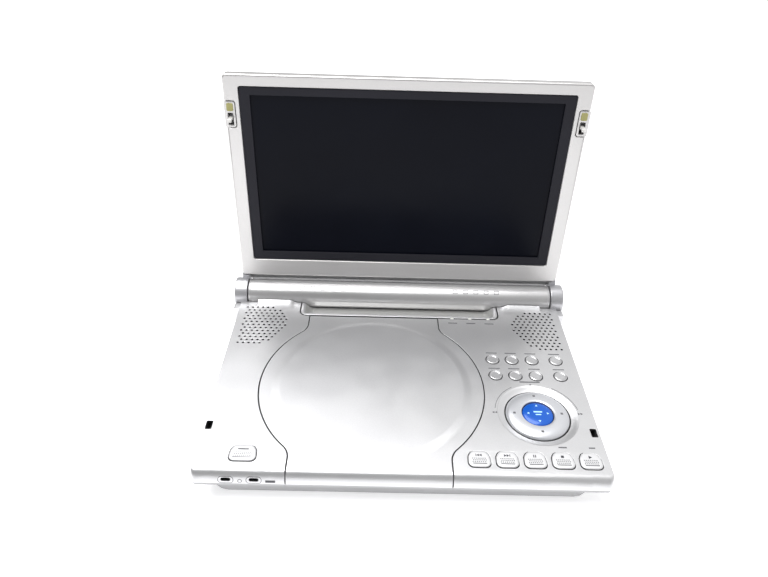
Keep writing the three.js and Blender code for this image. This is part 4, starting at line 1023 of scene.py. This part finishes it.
bezel()
slab(
    "screen_back",
    SCREEN_OUTLINE,
    [(6, -9), (4, -8.9), (2.4, -8.5), (1.1, -7.8), (0.3, -6.8), (0, -5.6), (0, -4.75)]
    + [(2, -4.75), (2, -7)],
    BACK_PAINT,
    "screen",
    lid,
    replaced=["screen_rear_shell"],
)
slab(
    "screen_mask_frame",
    rounded(-WINDOW_HALF + 0.3, WINDOW_HALF - 0.3, WINDOW_BOTTOM + 0.3, WINDOW_TOP - 0.3, 1.4, 5),
    [(0, -1.7), (0, -0.75), (0.15, -0.6)],
    MASK,
    "screen",
    lid,
    holes=[rounded(-ACTIVE_HALF, ACTIVE_HALF, ACTIVE_BOTTOM, ACTIVE_TOP, 0.6, 4)],
    replaced=["screen_mask"],
)


def screen_lip():
    """The rear shell's lower edge, which curves down behind the barrel between the two necks."""
    inner = [(2.4, 13.9), (3.6, 12.0), (5.2, 10.2), (6.6, 8.9), (8.0, 7.5), (9.1, 6.0), (9.6, 5.2)]
    outer = [(10.2, 5.2), (10.6, 5.8), (10.8, 8.0), (10.8, 11.0), (10.6, 13.9)]
    loop = [(SCREEN_FACE - back, up - SCREEN_RISE) for back, up in inner + outer]
    mesh = bmesh.new()
    rings = [(0.5, -LIP_HALF), (0, -LIP_HALF + 0.5), (0, LIP_HALF - 0.5), (0.5, LIP_HALF)]
    add_slab(mesh, loop, [], rings)
    for vertex in mesh.verts:
        vertex.co = (vertex.co.z, vertex.co.y, vertex.co.x)
    finish_mesh("screen_lip", mesh, lid, [BACK_PAINT], "screen", (), 50)


screen_lip()


def hook_plate(label, side):
    """A plate set into the bezel, with a soft pad, a slot and the hook that stands out of it."""
    x = side * LATCH_X
    mesh = bmesh.new()
    outline = rounded(x - HOOK_PLATE_HALF, x + HOOK_PLATE_HALF, HOOK_BOTTOM, HOOK_TOP, 1.4, 5)
    slot_hole = rounded(x - 1.7, x + 1.7, HOOK_BOTTOM + 1.4, HOOK_BOTTOM + 9.2, 0.6, 3)
    add_slab(mesh, outline, [slot_hole], [(0, -1.5), (0, -0.25), (0.12, -0.05), (0.4, 0.05)])
    finish_mesh(f"hook_plate_{label}", mesh, lid, [BEZEL], "screen", (), 38)
    mesh = bmesh.new()
    shank = [(-1.5, 0), (4.0, 0), (4.7, -0.5), (5.0, -1.4), (4.6, -2.2), (3.4, -2.2), (3.1, -1.6)]
    shank = [(reach, rise) for reach, rise in shank] + [(2.4, -1.5), (-1.5, -1.9)]
    base = HOOK_BOTTOM + 5.6
    loop = [(reach, base + rise + 1.0) for reach, rise in shank]
    add_slab(mesh, loop[::-1], [], [(0.15, x - 1.2), (0, x - 1.0), (0, x + 1.0), (0.15, x + 1.2)])
    for vertex in mesh.verts:
        vertex.co = (vertex.co.z, vertex.co.y, vertex.co.x)
    finish_mesh(
        f"hook_{label}", mesh, lid, [HOOK], "screen", [f"latch_hook_{label}"], 30
    )
    slab(
        f"bumper_pad_{label}",
        rounded(x - 2.1, x + 2.1, HOOK_TOP - 6.2, HOOK_TOP - 1.2, 0.9, 4),
        [(0, -0.4), (0, 0.35), (0.15, 0.6), (0.6, 0.7)],
        PAD,
        "screen",
        lid,
    )


hook_plate("left", -1)
hook_plate("right", 1)


def lamps():
    """Three small half-round light windows at the trough's front edge."""
    mesh = bmesh.new()
    for x in LAMP_X:
        tip = [(0, 0.1), (LAMP_RADIUS - 0.5, 0.08), (LAMP_RADIUS - 0.15, -0.05), (LAMP_RADIUS, -0.3)]
        add_lathe(mesh, tip + [(LAMP_RADIUS, LAMP_FOOT), (0, LAMP_FOOT)], 24, x, LAMP_Y)
    replaced = ["indicator_light_guide"]
    finish_mesh("indicator_lamps", mesh, deck, [LAMP], "base", replaced, 50)


lamps()


def socket(index, x):
    """A round socket body behind its slot in the nose."""
    profile = [(0, SOCKET_FLOOR), (SOCKET_BORE, SOCKET_FLOOR), (SOCKET_BORE, SOCKET_FRONT)]
    profile += [(SOCKET_RADIUS, SOCKET_FRONT), (SOCKET_RADIUS, SOCKET_END), (0, SOCKET_END)]

    def place(px, py, along):
        return deck(x + px, along, SOCKET_Z + py)

    name = f"front_socket_{index}"
    lathe(f"socket_{index}", profile, BLACK_AND_SHADE, "base", place, sides=32, replaced=[name])


for socket_index, socket_x in enumerate(SOCKET_X, 1):
    socket(socket_index, socket_x)

# ---- Buttons


def key_piece(name, x, y, size, body, replaced):
    """A key with a rounded rim, a lip near its front and three rows of small grip bumps."""
    mesh = bmesh.new()
    rings = [(0, -1.6), (0, 0.15), (0.12, 0.5), (0.4, 0.75), (0.9, 0.9), (1.5, 0.94)]
    add_slab(mesh, key_outline(x, y, size, 0), [], rings)
    # The key's side walls get black painted shade, which reads as the dark gap round the key
    paint_wall_shade(mesh, 0.1, DECK_HALF)
    grips = len(mesh.faces)
    columns = int(size[0] / 1.3) - 2
    bump = [(0, 1.16), (0.2, 1.12), (0.38, 0.96), (0.38, 0.86), (0, 0.86)]
    for row in range(GRIP_ROWS):
        stagger = (row % 2 - 0.5) * 0.4
        py = y - GRIP_FRONT + row * GRIP_PITCH
        for column in range(columns):
            px = x + (column - (columns - 1) / 2 + stagger) * GRIP_PITCH
            add_lathe(mesh, bump, 8, px, py)
    lip = centred(x, y - size[1] / 2 + 2.1, (size[0] - 4.6, 0.62), 0.3, 4)
    add_slab(mesh, lip, [], [(0, 0.8), (0, 1.0), (0.1, 1.12)])
    mesh.faces.ensure_lookup_table()
    for face in mesh.faces[grips:]:
        face.material_index = 2
    finish_mesh(name, mesh, deck, [KEY, BLACK_AND_SHADE, GRIP], body, replaced, 50)


for index in range(LARGE_KEYS):
    node_name = f"transport_button_{index + 1}"
    spot = (large_key_x(index), LARGE_KEY_Y)
    key_piece(f"large_key_{index + 1}", *spot, LARGE_KEY_SIZE, node_name, [node_name])
key_piece("open_key", *OPEN_KEY, OPEN_KEY_SIZE, "open_button", ["open_button"])


def triangle(x, y, size, direction):
    points = [(x - direction * size * 0.5, y - size * 0.62), (x + direction * size * 0.6, y)]
    points.append((x - direction * size * 0.5, y + size * 0.62))
    return points if direction > 0 else points[::-1]


def bar(x, y, width, height):
    return rounded(x - width / 2, x + width / 2, y - height / 2, y + height / 2, 0.08, 1)


def skip(x, y, direction):
    """Two arrowheads in front of a bar."""
    stop = bar(x + direction * 1.7, y, 0.35, 1.7)
    heads = [triangle(x + direction * step, y, 1.3, direction) for step in (0.6, -0.9)]
    return [stop] + heads


ICONS = [
    lambda x, y: skip(x, y, -1),
    lambda x, y: skip(x, y, 1),
    lambda x, y: [bar(x - 0.5, y, 0.5, 1.8), bar(x + 0.5, y, 0.5, 1.8)],
    lambda x, y: [bar(x, y, 1.6, 1.6)],
    lambda x, y: [triangle(x, y, 1.7, 1)],
]
for index, icon in enumerate(ICONS):
    shapes = icon(large_key_x(index), LARGE_KEY_Y + SYMBOL_RISE)
    node_name = f"transport_button_{index + 1}"
    marks(f"key_icon_{index + 1}", shapes, PRINT, node_name, z=SYMBOL_Z)
open_shape = bar(OPEN_KEY[0], OPEN_KEY[1] + SYMBOL_RISE, 6.2, LABEL_HEIGHT)
marks("open_key_mark", [open_shape], PALE_PRINT, "open_button", z=SYMBOL_Z)


def small_key(index, x, y):
    """A round key with a raised rim."""
    r = SMALL_KEY_RADIUS
    node_name = f"menu_button_{index}"
    lathe(
        f"small_key_{index}",
        [(0, 0.32), (r - 1.25, 0.34), (r - 0.85, 0.62), (r - 0.5, 0.66), (r - 0.15, 0.45)]
        + [(r, 0.05), (r, -1.6), (0, -1.6)],
        KEY_SILVER,
        node_name,
        x=x,
        y=y,
        sides=40,
        sharp=20,
        replaced=[node_name],
    )


for index, spot in enumerate(SMALL_KEYS, 1):
    small_key(index, *spot)


def deck_labels():
    """Plain bars where the deck has printed words."""
    rise, width, height = SMALL_KEY_LABEL
    labels = [bar(x, y + rise, width, height) for x, y in SMALL_KEYS]
    labels += [bar(x, LAMP_LABEL_Y, LAMP_LABEL_WIDTH, LABEL_HEIGHT) for x in LAMP_X]
    y = LARGE_KEY_Y + LARGE_KEY_LABEL_RISE
    labels.append(bar(large_key_x(4) + 3.2, y, 3.6, LABEL_HEIGHT))
    labels.append(bar(large_key_x(3) + 2.0, y, 4.8, LABEL_HEIGHT))
    rise, width, height = DIAL_LABEL
    labels.append(bar(DIAL[0], DIAL[1] + rise, width, height))
    marks("deck_labels", labels, PALE_PRINT, "base", z=0.0)


def socket_marks():
    """An outline round each socket's slot, and two small marks beside the slots."""
    y = socket_y - 0.3
    shapes = []
    for x in SOCKET_X:
        shapes.append((centred(x, y, (8.6, 4.4), 2.1, 8), [centred(x, y, (8.0, 3.8), 1.8, 8)]))
    x, y = SOCKET_X[0] + 7.7, socket_y - 0.9
    shapes.append((circle(x, y, 1.2, 20), [circle(x, y, 0.85, 20)]))
    shapes.append(bar(SOCKET_X[1] + 9.0, y, 5.4, 1.5))
    marks("socket_marks", shapes, PALE_PRINT, "base", bend, 0.0)


deck_labels()
socket_marks()

# ---- Dial


def dial_bowl():
    """The dish round the search ring, with black painted shade on its floor under the ring."""
    inner = RING_RADIUS + DIAL_SEAM
    slope = [(inner, -1.5), (20.3, -1.44), (21.2, -1.2), (22.0, -0.86), (22.8, -0.48), (23.5, -0.17)]
    profile = [(0, -2.6), (inner, -2.6)] + slope + [(BOWL_RADIUS, 0), (BOWL_RADIUS, -3), (0, -3)]
    mesh = bmesh.new()
    add_lathe(mesh, profile, 96, *DIAL)
    # The floor under the ring gets black painted shade
    paint_wall_shade(mesh, -1.52, DECK_HALF)
    finish_mesh("dial_bowl", mesh, deck, [SILVER, BLACK_AND_SHADE], "base", ["dial_dish"], 38)


dial_bowl()
lathe(
    "dial_ring",
    [(RING_BORE, -1.8), (RING_BORE, 0.5), (RING_BORE + 0.3, 0.8), (11.2, 0.98), (14.5, 0.95)]
    + [(16.8, 0.5), (18.1, -0.1), (18.75, -0.7), (RING_RADIUS, -1.25), (RING_RADIUS, -1.9)]
    + [(RING_BORE, -1.9)],
    DIAL_PAINT,
    "search_ring",
    x=DIAL[0],
    y=DIAL[1],
    sides=96,
    replaced=["search_ring"],
)
DOME = [(0, 1.0), (2.5, 0.98), (5.0, 0.9), (7.0, 0.72), (8.3, 0.4), (9.0, 0.05), (CURSOR_RADIUS, -0.4)]
lathe(
    "cursor_dome",
    DOME + [(CURSOR_RADIUS, -1.2), (0, -1.2)],
    BLUE,
    "cursor_button",
    x=DIAL[0],
    y=DIAL[1],
    sides=72,
    replaced=["cursor_button"],
)


def band(x, y, radius, width, start, end, steps=20):
    """A strip of a circle."""
    outer = arc(x, y, radius + width / 2, start, end, steps)
    return outer + arc(x, y, radius - width / 2, end, start, steps)


def dial_marks():
    """Squares on the ring, and arcs and arrows round the dish."""
    x, y = DIAL
    squares = []
    for angle in (0, 90, 180, 270):
        square_x = x + RING_MARK_RADIUS * math.cos(math.radians(angle))
        square_y = y + RING_MARK_RADIUS * math.sin(math.radians(angle))
        squares.append(bar(square_x, square_y, 1.5, 1.5))
    marks("ring_marks", squares, PALE_PRINT, "search_ring", z=0.93)
    shapes = [band(x, y, ARC_RADIUS, ARC_WIDTH, *ends) for ends in ((119, 170), (10, 60))]
    shapes.append([(x - 0.9, y + 24.5), (x + 0.9, y + 24.5), (x, y + 25.9)])
    for side in (-1, 1):
        for step in (0, 1.6):
            shapes.append(triangle(x + side * (ARROW_RADIUS + step), y + 0.9, 1.4, side))
    marks("dial_arcs", shapes, PALE_PRINT, "base", z=0.0)


def on_dome(x, y, z):
    """Lays a mark on the cursor button's curved top."""
    reach = math.hypot(x - DIAL[0], y - DIAL[1])
    at = next(i for i in range(len(DOME)) if DOME[i + 1][0] >= reach)
    (r0, z0), (r1, z1) = DOME[at], DOME[at + 1]
    return deck(x, y, z + z0 + (z1 - z0) * (reach - r0) / (r1 - r0))


def cursor_marks():
    """Four arrowheads and two bars on the cursor button."""
    x, y = DIAL
    shapes = [triangle(x + side * 6.0, y, 1.3, side) for side in (-1, 1)]
    for side in (-1, 1):
        tip = [(x - 0.8, y + side * 5.6), (x + 0.8, y + side * 5.6), (x, y + side * 7)]
        shapes.append(tip if side > 0 else tip[::-1])
    shapes += [bar(x, y + 1.0, 5.2, 1.1), bar(x, y - 1.2, 3.4, 0.8)]
    marks("cursor_marks", shapes, ICE, "cursor_button", on_dome, 0.02)


dial_marks()
cursor_marks()

# ---- Floor, light and camera

floor_mesh = bmesh.new()
floor_z = cad_low.z - FLOOR_DROP
corners = [(x * FLOOR_HALF, y * FLOOR_HALF) for x, y in ((-1, -1), (1, -1), (1, 1), (-1, 1))]
floor_mesh.faces.new([floor_mesh.verts.new((x, y, floor_z)) for x, y in corners])
floor_data = bpy.data.meshes.new("floor")
floor_mesh.to_mesh(floor_data)
floor_mesh.free()
floor = bpy.data.objects.new("floor", floor_data)
bpy.context.scene.collection.objects.link(floor)
paper = surface("floor_paper", (0.9, 0.9, 0.91), (0.88, 0.88, 0.89), 0.8, 0, 300, 0.05)
paper_shader = paper.node_tree.nodes["Principled BSDF"]
paper_shader.inputs["Emission Color"].default_value = (1, 1, 1, 1)
paper_shader.inputs["Emission Strength"].default_value = FLOOR_GLOW
floor_data.materials.append(paper)

world = bpy.data.worlds.new("studio")
bpy.context.scene.world = world
world.use_nodes = True


def world_light(tree):
    """A bright studio behind, above and to the right, and a darker one in front of the object."""
    way = tree.nodes.new("ShaderNodeTexCoord").outputs["Generated"]
    parts = tree.nodes.new("ShaderNodeSeparateXYZ")
    tree.links.new(way, parts.inputs["Vector"])
    depth = spread(tree, parts.outputs["Y"], WORLD_FRONT, WORLD_BACK, -0.85, -0.15)
    across = spread(tree, parts.outputs["X"], WORLD_LEFT, WORLD_RIGHT, -0.12, 0.5)
    both = tree.nodes.new("ShaderNodeMath")
    both.operation = "MULTIPLY"
    for mapped in (depth, across):
        mapped.node.interpolation_type = "SMOOTHSTEP"
    tree.links.new(depth, both.inputs[0])
    tree.links.new(across, both.inputs[1])
    tree.links.new(both.outputs["Value"], tree.nodes["Background"].inputs["Strength"])


world_light(world.node_tree)
bpy.context.scene.view_settings.view_transform = "Standard"


def softbox(name, place, target, size, power):
    data = bpy.data.lights.new(name, "AREA")
    data.shape = "RECTANGLE"
    data.size, data.size_y = size
    data.energy = power
    light = bpy.data.objects.new(name, data)
    light.location = place
    aim = Vector(target) - Vector(place)
    light.rotation_euler = aim.to_track_quat("-Z", "Y").to_euler()
    bpy.context.scene.collection.objects.link(light)


softbox("overhead", (-0.3, 0.1, 1.3), (0, 0, 0), (1.4, 1.2), 30)

camera_data = bpy.data.cameras.new("camera")
camera_data.sensor_width = 36
camera_data.lens = CAMERA_LENS
camera_data.clip_start = 0.01
camera = bpy.data.objects.new("camera", camera_data)
ahead = Vector(CAMERA_AHEAD).normalized()
right = ahead.cross(Vector(CAMERA_UPWARD)).normalized()
upward = right.cross(ahead)
turned = Matrix((right, upward, -ahead)).transposed()
camera.matrix_world = Matrix.Translation(deck(*CAMERA_PLACE)) @ turned.to_4x4()
bpy.context.scene.collection.objects.link(camera)
bpy.context.scene.camera = camera
